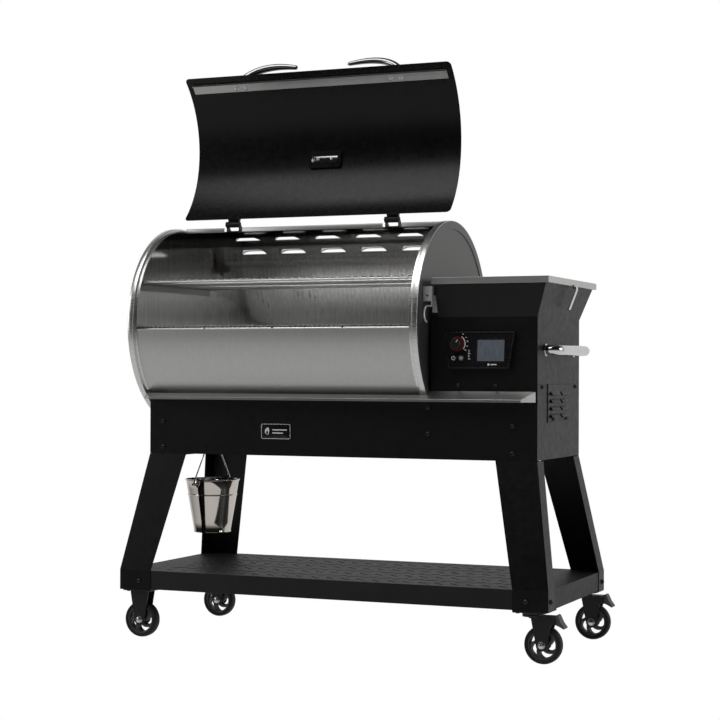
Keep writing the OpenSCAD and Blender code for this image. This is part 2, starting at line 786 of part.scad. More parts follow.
module auger() {
    x0 = fire_pot_x + fire_pot_r + 6;
    x1 = 480;
    pitch = 45;
    turns = (x1 - x0) / pitch;
    color(steel_side) {
        rod_x(x0, 500, 0, auger_z, 8);
        translate([x0, 0, auger_z]) rotate([0, 90, 0])
            linear_extrude(x1 - x0, twist = -360 * turns, slices = ceil(turns * 16), $fn = 4)
                polygon([[2, -7], [24, -7], [24, 7], [2, 7]]);
    }
}

module auger_motor() {
    color(steel_side) difference() {
        union() {
            span([486, -38, auger_z - 38], [490, 38, auger_z + 38]);
            span([490, -34, auger_z - 34], [528, 34, auger_z + 34]);
            rod_x(528, 568, 0, auger_z, 26);
        }
        rod_x(480, 506, 0, auger_z, 8 + running);
    }
}

module blower_housing() {
    color(steel_side) difference() {
        union() {
            rod_y(400, 60, 110, 610, 52);
            span([400, 60, 558], [486, 110, 598]);
            span([370, 105, 656], [430, body_half_d - sheet, 658]);
        }
        rod_y(400, 63, 107, 610, 49);
        span([400, 63, 561], [490, 107, 595]);
        rod_y(400, 100, 112, 610, 30);
        rod_y(400, 50, 64, 610, 4 + running);
    }
}

module blower_wheel() {
    color(grey_plastic) {
        difference() {
            rod_y(400, 66, 104, 610, 44);
            rod_y(400, 69, 105, 610, 36);
            for (i = [0:11]) translate([400, 0, 610]) rotate([0, 30 * i, 0]) span([34, 69, -5], [46, 101, 5]);
        }
        rod_y(400, 50, 72, 610, 4);
    }
}

// Turns children about the bucket's vertical centre line
module at_bucket() {
    translate([bucket_x, 0, 0]) rotate([0, 0, -10]) children();
}

module drip_spout() {
    hook_z = bail_top - bail_wire - gap + hook_r - 2.5;
    color(stainless) at_bucket() {
        translate([spout_x, 0, 0]) difference() {
            cylinder_at(hook_z - 2, barrel_z - inner_r + 4, spout_r);
            cylinder_at(hook_z - 3, 640, spout_r - 2);
        }
        translate([0, 0, hook_z]) rotate([90, 0, 0]) rotate([0, 0, 180]) rotate_extrude(angle = 180)
            translate([hook_r, 0]) circle(r = 2.5, $fn = 24);
        translate([hook_r, 0, hook_z]) cylinder(h = 12, r = 2.5, $fn = 24);
        translate([-hook_r, 0, hook_z]) cylinder(h = 8, r = 2.5, $fn = 24);
    }
}

// ---- Hopper ----

module flare(inset, z0, z1) {
    hull() {
        span([column_left + 20 + inset, -body_half_d + inset, z0],
            [body_right - inset, body_half_d - inset, z0 + 0.1]);
        span([column_left + 20 + inset, -rim_y + inset, z1 - 0.1], [rim_x - inset, rim_y - inset, z1]);
    }
}

module hopper_body() {
    color(steel_black) {
        difference() {
            union() {
                span([column_left, -body_half_d, apron_top + gap + 2], [body_right, body_half_d, flare_z]);
                flare(0, flare_z, hopper_rim_z);
            }
            span([column_left + sheet, -body_half_d + sheet, apron_top],
                [body_right - sheet, body_half_d - sheet, flare_z - sheet]);
            span([column_left + 20 + sheet, -body_half_d + sheet, flare_z - 3],
                [body_right - sheet, body_half_d - sheet, flare_z + 0.05]);
            flare(sheet, flare_z, hopper_rim_z + 0.2);
            span([body_right - 10, -body_half_d + sheet, apron_top],
                [body_right + 1, body_half_d - sheet, 739]);
            rod_x(column_left - 1, column_left + 5, 0, auger_z, auger_tube_r + gap);
            span([column_left - 1, -auger_tube_r - gap, apron_top],
                [column_left + 5, auger_tube_r + gap, auger_z]);
            for (x = hopper_screw_x) rod_y(x, -body_half_d - 1, -body_half_d + 5, hopper_screw_z, 2.5);
        }
        for (s = [-1, 1]) {
            span([lid_pin_x, s * 150 - 2, lid_pin_z - 5], [305.2, s * 150 + 2, lid_pin_z]);
            rod_y(lid_pin_x, s * 150 - 2, s * 150 + 2, lid_pin_z, 5);
            translate([lid_pin_x, s * 150, lid_pin_z]) rotate([s > 0 ? -90 : 90, 0, 0]) cylinder(h = 16, r = 2);
        }
    }
}

module hopper_bin() {
    z_top = 1004;
    z_mid = 925;
    z_neck = 760;
    neck_z0 = auger_z + 36;
    color(stainless) difference() {
        union() {
            span([column_left + 24, -195, z_mid], [585, 195, z_top]);
            span([column_left + 22.5, -220, z_top - 2], [612, 220, z_top]);
            hull() {
                span([column_left + 24, -195, z_mid - 0.1], [585, 195, z_mid]);
                span([406, -34, z_neck], [474, 34, z_neck + 0.1]);
            }
            span([406, -34, neck_z0], [474, 34, z_neck + 0.05]);
        }
        span([column_left + 26, -193, z_mid - 0.1], [583, 193, z_top + 1]);
        hull() {
            span([column_left + 26, -193, z_mid - 0.1], [583, 193, z_mid]);
            span([408, -32, z_neck], [472, 32, z_neck + 0.1]);
        }
        span([408, -32, neck_z0 - 1], [472, 32, z_neck + 0.1]);
    }
}

module hopper_grille() {
    color(chrome) {
        for (i = [0:8]) let (x = column_left + 40 + i * 30) span([x, -192, 986], [x + 5, 192, 990]);
        for (y = [-192, -66, 60, 186]) span([column_left + 26.5, y, 980], [582.5, y + 6, 986]);
    }
}

module hopper_lid() {
    z0 = hopper_rim_z + gap;
    z1 = hopper_rim_z + hopper_lid_h;
    color(stainless) difference() {
        union() {
            span([298, -236.5, z0], [630, 236.5, z1]);
            for (s = [-1, 1]) {
                span([295, s * 160 - 5, lid_pin_z], [302.5, s * 160 + 5, z0 + 3]);
                rod_y(lid_pin_x, s * 160 - 5, s * 160 + 5, lid_pin_z, 4);
            }
            span([628, -6, latch_z - 3], [latch_x, 6, z0 + 4]);
            span([620.5, -6, z0], [latch_x - 1, 6, z0 + 4]);
            rod_y(latch_x, -6, 6, latch_z, 3);
        }
        span([300, -234.5, z0 + 1.5], [628, 234.5, z1 - 2]);
        span([310, -222, z0 - 1], [616, 222, z0 + 2]);
        for (s = [-1, 1]) rod_y(lid_pin_x, s * 160 - 6, s * 160 + 6, lid_pin_z, 2 + running);
        rod_y(latch_x, -10, 10, latch_z, 1.5 + running);
    }
}

module hopper_latch() {
    color(chrome) translate([latch_x, 0, latch_z]) {
        rod_y(0, -9, 9, 0, 1.5);
        for (s = [-1, 1]) {
            rod_y(0, s * 7.7 - 1.3, s * 7.7 + 1.3, 0, 3);
            span([0, s * 7.7 - 1.3, -3], [4.5, s * 7.7 + 1.3, 3]);
        }
        along_y(-9, 9)
            polygon([[4, 4], [6, 4], [6, -6], [-15, -60], [-20, -60], [-20, -58], [-17, -58], [4, -6]]);
    }
}

// ---- Controller ----

// A frame on the sloping control panel: x across, -y outward, z up
module on_panel(x, z) {
    translate([x, panel_y, panel_z]) rotate([-panel_tilt, 0, 0]) translate([0, 0, z - panel_z]) children();
}

module controller_bezel() {
    color(steel_black) difference() {
        intersection() {
            along_x(327, 529) polygon([[-body_half_d, 780], [-215, 780], [-207, 882], [-body_half_d, 882]]);
            along_y(-220, -body_half_d) polygon([[341, 780], [513, 780], [529, 882], [327, 882]]);
        }
        on_panel(461, 829) span([-40, -2, -30], [40, 5, 30]);
        on_panel(knob_x, knob_z) rod_y(0, -5, 8.3, 0, 4 + running);
        for (x = [355, 377]) on_panel(x, button_z) rod_y(0, -10, 7.8, 0, 9 + 0.4);
    }
}

module controller_screen() {
    color([0.45, 0.5, 0.55]) on_panel(461, 829) span([-40 + gap, -1.5, -30 + gap], [40 - gap, 1, 30 - gap]);
}

module control_knob() {
    color([0.08, 0.08, 0.08]) on_panel(knob_x, knob_z) {
        rod_y(0, -17, -1, 0, 16.5);
        rod_y(0, -2, 8, 0, 4);
    }
}

module round_button(x) {
    color([0.12, 0.12, 0.12]) on_panel(x, button_z) rod_y(0, -3.5, 4, 0, 9);
}

module power_button() { round_button(355); }
module light_button() { round_button(377); }

// ---- Bucket ----

module bucket() {
    slope = (bucket_r - bucket_r_bottom) / (bucket_rim_z - bucket_bottom_z);
    function wall_r(z) = bucket_r_bottom + slope * (z - bucket_bottom_z);
    color(chrome) at_bucket() difference() {
        union() {
            rotate_extrude() difference() {
                union() {
                    polygon([[0, bucket_bottom_z], [bucket_r_bottom, bucket_bottom_z], [bucket_r, bucket_rim_z],
                        [0, bucket_rim_z]]);
                    translate([bucket_r - 0.5, bucket_rim_z - 2.5]) circle(r = 2.5, $fn = 24);
                    translate([wall_r(402) - 0.5, 402]) circle(r = 2.5, $fn = 24);
                    translate([bucket_r_bottom - 0.5, bucket_bottom_z + 2]) circle(r = 2, $fn = 24);
                }
                polygon([[0, bucket_bottom_z + 1.5], [bucket_r_bottom - 1, bucket_bottom_z + 1.5],
                    [bucket_r - 1, bucket_rim_z + 4], [0, bucket_rim_z + 4]]);
            }
            for (s = [-1, 1]) {
                translate([0, s * 80, ear_z]) rotate([90, 0, 0]) cylinder(h = 6, r = 9, center = true);
            }
        }
        for (s = [-1, 1]) translate([0, s * 80, ear_z]) rotate([90, 0, 0])
            cylinder(h = 12, r = bail_wire + running, center = true);
    }
}

module bucket_bail() {
    r = 22;
    half = 94;
    rise = bail_top - r - ear_z;
    // The leg is tangent to the top arc
    reach = sqrt(half * half + rise * rise);
    a = acos(r / reach) - atan2(rise, half);
    arc = [for (i = [0:8]) let (b = a + (180 - 2 * a) * i / 8) [r * cos(b), ear_z + rise + r * sin(b)]];
    path = concat([[half, ear_z]], arc, [[-half, ear_z]]);
    color(chrome) at_bucket() {
        rotate([90, 0, 90]) swept_bar(path, [for (p = path) bail_wire]);
        for (s = [0, 1]) mirror([0, s, 0]) rod_y(0, half - 19, half + 2.6, ear_z, bail_wire);
    }
}

front_apron();
rear_apron();
left_apron_end();
column_side_panel();
front_legs();
rear_legs();
bottom_shelf();
front_ledge();
badge_plate();
louver_cover();
cart_bolts();
caster_mounts();
swivel_fork_front();
swivel_fork_rear();
brake_pedal_front();
brake_pedal_rear();
tyre_front_left();
tyre_rear_left();
tyre_front_right();
tyre_rear_right();
rim_front_left();
rim_rear_left();
rim_front_right();
rim_rear_right();
barrel_shell();
end_caps();
end_rings();
grate_rails();
hinge_bases();
side_handles();
stay_bracket();
lid_shell();
lid_strip();
lid_handles();
lid_fasteners();
lid_bracket();
hinge_arms();
upper_rack();
main_grates();
drip_pan();
heat_deflector();
fire_pot();
auger_tube();
auger();
auger_motor();
blower_housing();
blower_wheel();
drip_spout();
hopper_body();
hopper_bin();
hopper_grille();
hopper_lid();
hopper_latch();
controller_bezel();
controller_screen();
control_knob();
power_button();
light_button();
bucket();
bucket_bail();
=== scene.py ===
"""Looks for the pellet smoker grill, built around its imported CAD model.

Lengths inside the helpers are millimetres in the CAD frame. A mesh is scaled to metres
when it is made.
"""

import json
import math

import bmesh
import bpy
from mathutils import Matrix, Vector


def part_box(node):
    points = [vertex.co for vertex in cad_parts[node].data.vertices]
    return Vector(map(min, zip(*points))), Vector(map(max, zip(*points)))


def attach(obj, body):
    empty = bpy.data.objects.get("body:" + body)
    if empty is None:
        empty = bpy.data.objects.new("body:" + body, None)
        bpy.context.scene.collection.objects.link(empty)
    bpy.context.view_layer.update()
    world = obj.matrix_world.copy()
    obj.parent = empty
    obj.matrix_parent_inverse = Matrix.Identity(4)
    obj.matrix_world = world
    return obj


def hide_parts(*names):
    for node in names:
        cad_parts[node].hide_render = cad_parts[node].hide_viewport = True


MM = 0.001

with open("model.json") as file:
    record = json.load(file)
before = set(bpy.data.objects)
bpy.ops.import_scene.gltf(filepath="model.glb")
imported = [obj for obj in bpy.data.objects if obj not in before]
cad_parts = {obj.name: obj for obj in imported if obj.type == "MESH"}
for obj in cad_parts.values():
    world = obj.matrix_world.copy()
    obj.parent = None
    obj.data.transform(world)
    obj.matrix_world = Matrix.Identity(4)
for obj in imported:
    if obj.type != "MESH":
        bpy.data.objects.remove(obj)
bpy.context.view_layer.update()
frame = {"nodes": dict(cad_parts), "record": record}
NODES = frame["nodes"]


def mm_box(node):
    lo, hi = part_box(node)
    return lo / MM, hi / MM


# ---------------------------------------------------------------- camera

CAM_PLACE = (2.0093, -4.7877, 0.7657)
CAM_TURN = math.radians(22.882)
CAM_PITCH = math.radians(0.268)
CAM_ROLL = math.radians(0.199)
CAM_LENS = 89.33
CAM_SHIFT = 0.0075


def make_camera():
    data = bpy.data.cameras.new("camera")
    data.lens = CAM_LENS
    data.sensor_width = 36
    data.shift_y = CAM_SHIFT
    data.clip_end = 200
    cam = bpy.data.objects.new("camera", data)
    bpy.context.scene.collection.objects.link(cam)
    level = math.cos(CAM_PITCH)
    ahead = Vector((-math.sin(CAM_TURN) * level, math.cos(CAM_TURN) * level, math.sin(CAM_PITCH)))
    right = Vector((math.cos(CAM_TURN), math.sin(CAM_TURN), 0))
    up = right.cross(ahead)
    c, s = math.cos(CAM_ROLL), math.sin(CAM_ROLL)
    x, y = right * c + up * s, up * c - right * s
    m = Matrix((x, y, -ahead)).transposed().to_4x4()
    m.translation = Vector(CAM_PLACE)
    cam.matrix_world = m
    bpy.context.scene.camera = cam


make_camera()


# ---------------------------------------------------------------- materials


RANGE_INPUTS = ("From Min", "From Max", "To Min", "To Max")


class Paint:
    """A node material with a few short ways to add noise and bump."""

    def __init__(self, name, color, rough, metal=0.0, spec=0.5):
        self.mat = bpy.data.materials.new(name)
        self.mat.use_nodes = True
        self.nt = self.mat.node_tree
        self.bsdf = self.nt.nodes["Principled BSDF"]
        self.put("Base Color", (*color, 1))
        self.put("Roughness", rough)
        self.put("Metallic", metal)
        self.put("Specular IOR Level", spec)
        self.coord = self.node("ShaderNodeTexCoord").outputs["Object"]

    def put(self, socket, value):
        self.bsdf.inputs[socket].default_value = value

    def node(self, kind, **values):
        n = self.nt.nodes.new(kind)
        for k, v in values.items():
            setattr(n, k, v)
        return n

    def link(self, a, b):
        self.nt.links.new(a, b)

    def noise(self, scale, stretch=(1, 1, 1), detail=3.0, rough=0.5):
        mapping = self.node("ShaderNodeMapping")
        mapping.inputs["Scale"].default_value = stretch
        self.link(self.coord, mapping.inputs["Vector"])
        n = self.node("ShaderNodeTexNoise")
        n.inputs["Scale"].default_value = scale
        n.inputs["Detail"].default_value = detail
        n.inputs["Roughness"].default_value = rough
        self.link(mapping.outputs["Vector"], n.inputs["Vector"])
        return n.outputs["Fac"]

    def vary_rough(self, fac, lo, hi):
        m = self.node("ShaderNodeMapRange")
        for k, v in zip(RANGE_INPUTS, (0.25, 0.75, lo, hi)):
            m.inputs[k].default_value = v
        self.link(fac, m.inputs["Value"])
        self.link(m.outputs["Result"], self.bsdf.inputs["Roughness"])

    def vary_color(self, fac, dark, light):
        r = self.node("ShaderNodeValToRGB")
        for e, position, color in zip(r.color_ramp.elements, (0.3, 0.7), (dark, light)):
            e.position = position
            e.color = (*color, 1)
        self.link(fac, r.inputs["Fac"])
        self.link(r.outputs["Color"], self.bsdf.inputs["Base Color"])

    def bump(self, fac, strength, distance):
        b = self.node("ShaderNodeBump")
        b.inputs["Strength"].default_value = strength
        b.inputs["Distance"].default_value = distance
        self.link(fac, b.inputs["Height"])
        self.link(b.outputs["Normal"], self.bsdf.inputs["Normal"])


def powder(name, tone, grain=1100, rough=(0.34, 0.46), depth=0.00006, strength=0.5, spec=0.25):
    p = Paint(name, (tone, tone, tone * 1.12), rough[0], spec=spec)
    n = p.noise(grain, detail=2.0)
    broad = p.noise(9, detail=2.0)
    p.vary_color(broad, (tone * 0.8,) * 3, (tone * 1.2, tone * 1.2, tone * 1.35))
    p.vary_rough(p.noise(60, detail=4.0), *rough)
    p.bump(n, strength, depth)
    return p.mat


def brushed(name, tone, along, rough=(0.24, 0.36), streak=0.5, depth=0.00003, dirt=0.06):
    """Brushed metal whose scratches run along the axis given by along (0, 1 or 2)."""
    p = Paint(name, (tone, tone * 0.99, tone * 0.975), rough[0], metal=1.0)
    fine = [900.0, 900.0, 900.0]
    fine[along] = 9.0
    coarse = [160.0, 160.0, 160.0]
    coarse[along] = 2.0
    f = p.noise(1.0, stretch=fine, detail=3.0, rough=0.65)
    c = p.noise(1.0, stretch=coarse, detail=3.0)
    lo, hi = tone * (1 - dirt), min(1.0, tone * (1 + dirt))
    p.vary_color(c, (lo, lo * 0.99, lo * 0.97), (hi, hi * 0.995, hi * 0.985))
    p.vary_rough(f, *rough)
    p.bump(f, streak, depth)
    return p.mat


def polished(name, tone, rough=(0.06, 0.14), spots=40, depth=0.00002, warm=0.0):
    """Smooth metal; warm takes that part of the blue away, and half as much of the green."""
    color = (tone, tone * (1 - warm / 2), tone * (1 - warm))
    p = Paint(name, color, rough[0], metal=1.0)
    p.vary_rough(p.noise(spots, detail=4.0), *rough)
    p.vary_color(p.noise(14, detail=2.0), tuple(c * 0.94 for c in color), color)
    p.bump(p.noise(25, detail=1.0), 0.25, depth * 10)
    return p.mat


def plastic(name, color, rough=(0.4, 0.55), grain=900, depth=0.00004, spec=0.5):
    p = Paint(name, color, rough[0], spec=spec)
    p.vary_color(
        p.noise(30, detail=3.0),
        tuple(c * 0.86 for c in color),
        tuple(min(1, c * 1.12) for c in color),
    )
    p.vary_rough(p.noise(120, detail=3.0), *rough)
    p.bump(p.noise(grain, detail=2.0), 0.4, depth)
    return p.mat


BLACK = powder("black_powder_coat", 0.0045)
LID_BLACK = powder(
    "lid_powder_coat", 0.003, grain=620, rough=(0.24, 0.32), depth=0.00012, strength=0.5, spec=0.2
)
SHELF_BLACK = powder("shelf_powder_coat", 0.014, rough=(0.45, 0.58), spec=0.3)
SKIN = brushed("brushed_skin", 0.53, 2, rough=(0.36, 0.44), streak=0.15, dirt=0.025)
LEDGE = brushed("brushed_ledge", 0.55, 0, rough=(0.26, 0.36))
HOPPER_STEEL = brushed("brushed_hopper_lid", 0.66, 0, rough=(0.32, 0.44))
INNER = brushed("inner_steel", 0.74, 2, rough=(0.06, 0.16), streak=0.8, dirt=0.14)
# The end discs are the same stainless as the end bands, given a much darker tone: painted shade.
SHADED_CAP_STEEL = brushed("end_cap_steel", 0.19, 2, rough=(0.45, 0.55), streak=0.12, dirt=0.02)
RING_STEEL = brushed("ring_steel", 0.74, 0, rough=(0.24, 0.34), streak=0.25)
RACK_STEEL = polished("rack_steel", 0.8, rough=(0.28, 0.4))
SATIN = brushed("satin_steel", 0.5, 1, rough=(0.28, 0.4))
STRIP_STEEL = brushed("strip_steel", 0.42, 0, rough=(0.3, 0.42))
CHROME = polished("polished_steel", 0.82)
# The horns are the same polished steel as CHROME, given a much darker tone: painted shade standing
# in for the dark surroundings they reflect. The bracket strip under the lid shares it.
SHADED_HORN_STEEL = polished("horn_steel", 0.3, rough=(0.12, 0.22))
BUCKET_STEEL = polished("bucket_steel", 0.74, rough=(0.05, 0.12), warm=0.14)
ZINC = polished("zinc_bolt", 0.72, rough=(0.22, 0.34), spots=220)
STAY_STEEL = polished("stay_steel", 0.95, rough=(0.42, 0.52))
DARK_ZINC = plastic("dark_plated_steel", (0.02, 0.02, 0.021), rough=(0.3, 0.42))
CAST_BLACK = plastic("caster_black", (0.012, 0.012, 0.013), rough=(0.32, 0.44))
RUBBER = plastic("rubber", (0.012, 0.012, 0.012), rough=(0.55, 0.75), grain=500, spec=0.35)
RIM_GREY = plastic("rim_grey", (0.055, 0.055, 0.057), rough=(0.38, 0.5))
PEDAL_GREY = plastic("pedal_grey", (0.07, 0.071, 0.074), rough=(0.4, 0.55))
PANEL_BLACK = plastic("panel_black", (0.008, 0.008, 0.009), rough=(0.22, 0.3), depth=0.00001)
KNOB_BLACK = plastic("knob_black", (0.011, 0.011, 0.012), rough=(0.3, 0.42))
RED = plastic("red_ring", (0.32, 0.02, 0.018), rough=(0.3, 0.4))
PRINT = plastic("white_print", (0.75, 0.75, 0.75), rough=(0.45, 0.6))


def screen_paint():
    p = Paint("screen", (0.12, 0.14, 0.17), 0.18, spec=0.6)
    streaks = p.noise(1.0, stretch=(420.0, 420.0, 6.0), detail=3.0)
    p.vary_color(streaks, (0.1, 0.12, 0.15), (0.17, 0.19, 0.22))
    p.vary_rough(p.noise(30), 0.12, 0.2)
    return p.mat


SCREEN = screen_paint()


# ---------------------------------------------------------------- mesh building


SHARP_EDGE = 0.5
ROD_EDGE = 0.18


class Build:
    """Collects closed parts in millimetres and makes one mesh piece of them."""

    def __init__(self, place=None):
        self.verts, self.faces, self.mats, self.place = [], [], [], place or Matrix()

    def add(self, verts, faces, mat=0, place=None):
        m = self.place @ (place or Matrix())
        base = len(self.verts)
        self.verts += [m @ Vector(v) for v in verts]
        self.faces += [[i + base for i in f] for f in faces]
        self.mats += [mat] * len(faces)

    def add_bm(self, bm, mat=0, place=None):
        bm.verts.index_update()
        verts = [v.co.copy() for v in bm.verts]
        self.add(verts, [[v.index for v in f.verts] for f in bm.faces], mat, place)
        bm.free()

    def prism(self, outline, axis, a, b, bevel=0.0, mat=0, place=None, segments=2):
        """An outline in the two other axes, drawn from a to b along axis."""
        others = [i for i in range(3) if i != axis]
        bm = bmesh.new()
        vs = []
        for p in outline:
            co = [0.0, 0.0, 0.0]
            co[others[0]], co[others[1]], co[axis] = p[0], p[1], a
            vs.append(bm.verts.new(co))
        f = bm.faces.new(vs)
        out = bmesh.ops.extrude_face_region(bm, geom=[f])
        shift = [0.0, 0.0, 0.0]
        shift[axis] = b - a
        moved = [g for g in out["geom"] if isinstance(g, bmesh.types.BMVert)]
        bmesh.ops.translate(bm, verts=moved, vec=shift)
        bmesh.ops.recalc_face_normals(bm, faces=bm.faces)
        if bevel:
            edges = [e for e in bm.edges if e.calc_face_angle(0) > SHARP_EDGE]
            looks = {"segments": segments, "affect": "EDGES", "profile": 0.5, "clamp_overlap": True}
            bmesh.ops.bevel(bm, geom=edges, offset=bevel, **looks)
        self.add_bm(bm, mat, place)

    def box(self, lo, hi, bevel=0.0, mat=0, place=None):
        outline = [(lo[0], lo[1]), (hi[0], lo[1]), (hi[0], hi[1]), (lo[0], hi[1])]
        self.prism(outline, 2, lo[2], hi[2], bevel, mat, place)

    def lathe(self, profile, segs=64, place=None, mat=0, closed=False):
        """Turns (radius, height) points about z. A closed profile makes a ring."""
        rings, verts = [], []
        for r, h in profile:
            if r < 1e-6:
                rings.append([len(verts)])
                verts.append((0, 0, h))
            else:
                rings.append(list(range(len(verts), len(verts) + segs)))
                for k in range(segs):
                    a = 2 * math.pi * k / segs
                    verts.append((r * math.cos(a), r * math.sin(a), h))
        faces = []
        for p, q in zip(rings, rings[1:] + (rings[:1] if closed else [])):
            for k in range(segs):
                j = (k + 1) % segs
                if len(p) == 1 and len(q) == 1:
                    continue
                if len(p) == 1:
                    faces.append([p[0], q[j], q[k]])
                elif len(q) == 1:
                    faces.append([p[k], p[j], q[0]])
                else:
                    faces.append([p[k], p[j], q[j], q[k]])
        self.add(verts, faces, mat, place)

    def rod(self, a, b, r, segs=20):
        """A round bar from a to b with slightly broken ends."""
        a, b = Vector(a), Vector(b)
        h = (b - a).length
        e = min(r, h / 2) * ROD_EDGE
        profile = [(0, 0), (r - e, 0), (r, e), (r, h - e), (r - e, h), (0, h)]
        self.lathe(profile, segs, turn_to(a, b - a))

    def sweep(self, path, radius, sides=16, mat=0, closed=False, squash=1.0):
        """A round bar along a path, with one radius or one for each point."""
        pts = [Vector(p) for p in path]
        n = len(pts)
        radii = radius if hasattr(radius, "__len__") else [radius] * n
        tangents = []
        for i in range(n):
            if closed:
                d = pts[(i + 1) % n] - pts[i - 1]
            else:
                d = pts[min(i + 1, n - 1)] - pts[max(i - 1, 0)]
            tangents.append(d.normalized())
        side = tangents[0].orthogonal().normalized()
        verts = []
        for i, t in enumerate(tangents):
            side = (side - t * side.dot(t)).normalized()
            up = t.cross(side)
            for k in range(sides):
                a = 2 * math.pi * k / sides
                across = side * math.cos(a) * radii[i]
                verts.append(pts[i] + across + up * math.sin(a) * radii[i] * squash)
        faces = []
        for i in range(n if closed else n - 1):
            j = (i + 1) % n
            for k in range(sides):
                m = (k + 1) % sides
                faces.append([i * sides + k, i * sides + m, j * sides + m, j * sides + k])
        if not closed:
            faces.append(list(range(sides))[::-1])
            faces.append([(n - 1) * sides + k for k in range(sides)])
        self.add(verts, faces, mat)

    def slab(self, outer, inner, mat=0, inner_mat=None, place=None):
        """A closed sheet between two grids of points of the same size."""
        rows, cols = len(outer), len(outer[0])
        verts = [p for r in outer for p in r] + [p for r in inner for p in r]
        n = rows * cols
        q = [
            (i * cols + j, i * cols + j + 1, (i + 1) * cols + j + 1, (i + 1) * cols + j)
            for i in range(rows - 1)
            for j in range(cols - 1)
        ]
        m = self.place @ (place or Matrix())
        base = len(self.verts)
        self.verts += [m @ Vector(v) for v in verts]
        inner_mat = mat if inner_mat is None else inner_mat
        edge = (
            [(0, j) for j in range(cols)]
            + [(i, cols - 1) for i in range(1, rows)]
            + [(rows - 1, j) for j in range(cols - 2, -1, -1)]
            + [(i, 0) for i in range(rows - 2, 0, -1)]
        )
        ids = [i * cols + j for i, j in edge]
        walls = [
            (ids[k], ids[(k + 1) % len(ids)], ids[(k + 1) % len(ids)] + n, ids[k] + n)
            for k in range(len(ids))
        ]
        for f in q:
            self.faces.append([base + i for i in f])
            self.mats.append(mat)
            self.faces.append([base + n + i for i in reversed(f)])
            self.mats.append(inner_mat)
        for f in walls:
            self.faces.append([base + i for i in reversed(f)])
            self.mats.append(mat)

    def finish(self, name, mats, body, nodes=(), angle=32, weld=False):
        mats = mats if isinstance(mats, (list, tuple)) else [mats]
        me = bpy.data.meshes.new(name)
        me.from_pydata([v * MM for v in self.verts], [], self.faces)
        bm = bmesh.new()
        bm.from_mesh(me)
        for f, m in zip(bm.faces, self.mats):
            f.material_index = m
            f.smooth = True
        if weld:
            bmesh.ops.remove_doubles(bm, verts=bm.verts, dist=1e-6)
        bmesh.ops.recalc_face_normals(bm, faces=bm.faces)
        limit = math.radians(angle)
        for e in bm.edges:
            e.smooth = len(e.link_faces) == 2 and e.calc_face_angle(0) < limit
        bm.to_mesh(me)
        bm.free()
        for m in mats:
            me.materials.append(m)
        o = bpy.data.objects.new(name, me)
        bpy.context.scene.collection.objects.link(o)
        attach(o, body)
        if nodes:
            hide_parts(*nodes)
        return o


def rounded_rect(x0, z0, x1, z1, r, steps=6):
    out = []
    corners = ((x1 - r, z1 - r), (x0 + r, z1 - r), (x0 + r, z0 + r), (x1 - r, z0 + r))
    for a0, (cx, cz) in zip((0, 90, 180, 270), corners):
        for i in range(steps + 1):
            a = math.radians(a0 + 90 * i / steps)
            out.append((cx + r * math.cos(a), cz + r * math.sin(a)))
    return out


def turn_to(place, axis):
    """A placement whose z points along axis."""
    m = Vector(axis).to_track_quat("Z", "Y").to_matrix().to_4x4()
    m.translation = Vector(place)
    return m


# ---------------------------------------------------------------- the CAD nodes that stay

SLOT_PAINT = {
    "black_steel": BLACK,
    "brushed_steel": SKIN,
    "satin_steel": SATIN,
    "polished_steel": CHROME,
    "caster_steel": CAST_BLACK,
    "black_zinc": DARK_ZINC,
    "grey_plastic": PEDAL_GREY,
    "rim_plastic": RIM_GREY,
    "tyre": RUBBER,
    "black_plastic": PANEL_BLACK,
    "screen_glass": SCREEN,
    "badge": PANEL_BLACK,
}
OWN_PAINT = {
    "bottom_shelf": SHELF_BLACK,
    "front_ledge": LEDGE,
    "end_caps": INNER,
    "end_rings": RING_STEEL,
    "lid_strip": STRIP_STEEL,
    "lid_shell": LID_BLACK,
    "lid_bracket": LID_BLACK,
    "hopper_lid": HOPPER_STEEL,
    "grate_rails": SATIN,
    "hinge_bases": BLACK,
    "stay_bracket": STAY_STEEL,
    "bucket": BUCKET_STEEL,
    "bucket_bail": CHROME,
}
SLOTS = {s["node"]: s["material_slot"] for s in frame["record"].get("subparts", [])}
ROUND_EDGE = {
    "front_apron": 0.9,
    "rear_apron": 0.9,
    "left_apron_end": 0.8,
    "column_side_panel": 0.6,
    "front_legs": 1.2,
    "rear_legs": 1.2,
    "bottom_shelf": 0.8,
    "front_ledge": 0.9,
    "louver_cover": 0.7,
    "end_rings": 0.8,
    "end_caps": 0.4,
    "hopper_body": 1.0,
    "hopper_lid": 1.4,
    "hopper_latch": 0.6,
    "hinge_arms": 0.8,
    "hinge_bases": 0.6,
    "lid_bracket": 0.8,
    "stay_bracket": 0.5,
    "caster_mounts": 0.6,
    "swivel_fork_front": 0.7,
    "swivel_fork_rear": 0.7,
    "brake_pedal_front": 1.2,
    "brake_pedal_rear": 1.2,
    "auger_motor": 1.0,
    "drip_pan": 0.6,
    "grate_rails": 0.5,
}
FLAT_SHEETS = ("front_apron", "rear_apron", "left_apron_end", "column_side_panel", "hopper_body")


def dress(node):
    o = NODES[node]
    slot = SLOTS.get(node)
    o.data.materials.clear()
    o.data.materials.append(OWN_PAINT.get(node) or SLOT_PAINT.get(slot, BLACK))
    if node in ROUND_EDGE:
        w = o.modifiers.new("weld", "WELD")
        w.merge_threshold = 2e-5
        if node in FLAT_SHEETS:
            d = o.modifiers.new("flat", "DECIMATE")
            d.decimate_type = "DISSOLVE"
            d.angle_limit = math.radians(0.4)
        b = o.modifiers.new("edge", "BEVEL")
        b.width = ROUND_EDGE[node] * MM
        b.segments = 2
        b.limit_method = "ANGLE"
        b.angle_limit = math.radians(38)
        b.harden_normals = True
        b.use_clamp_overlap = True


for name in NODES:
    dress(name)


# ---------------------------------------------------------------- sizes read from the frame

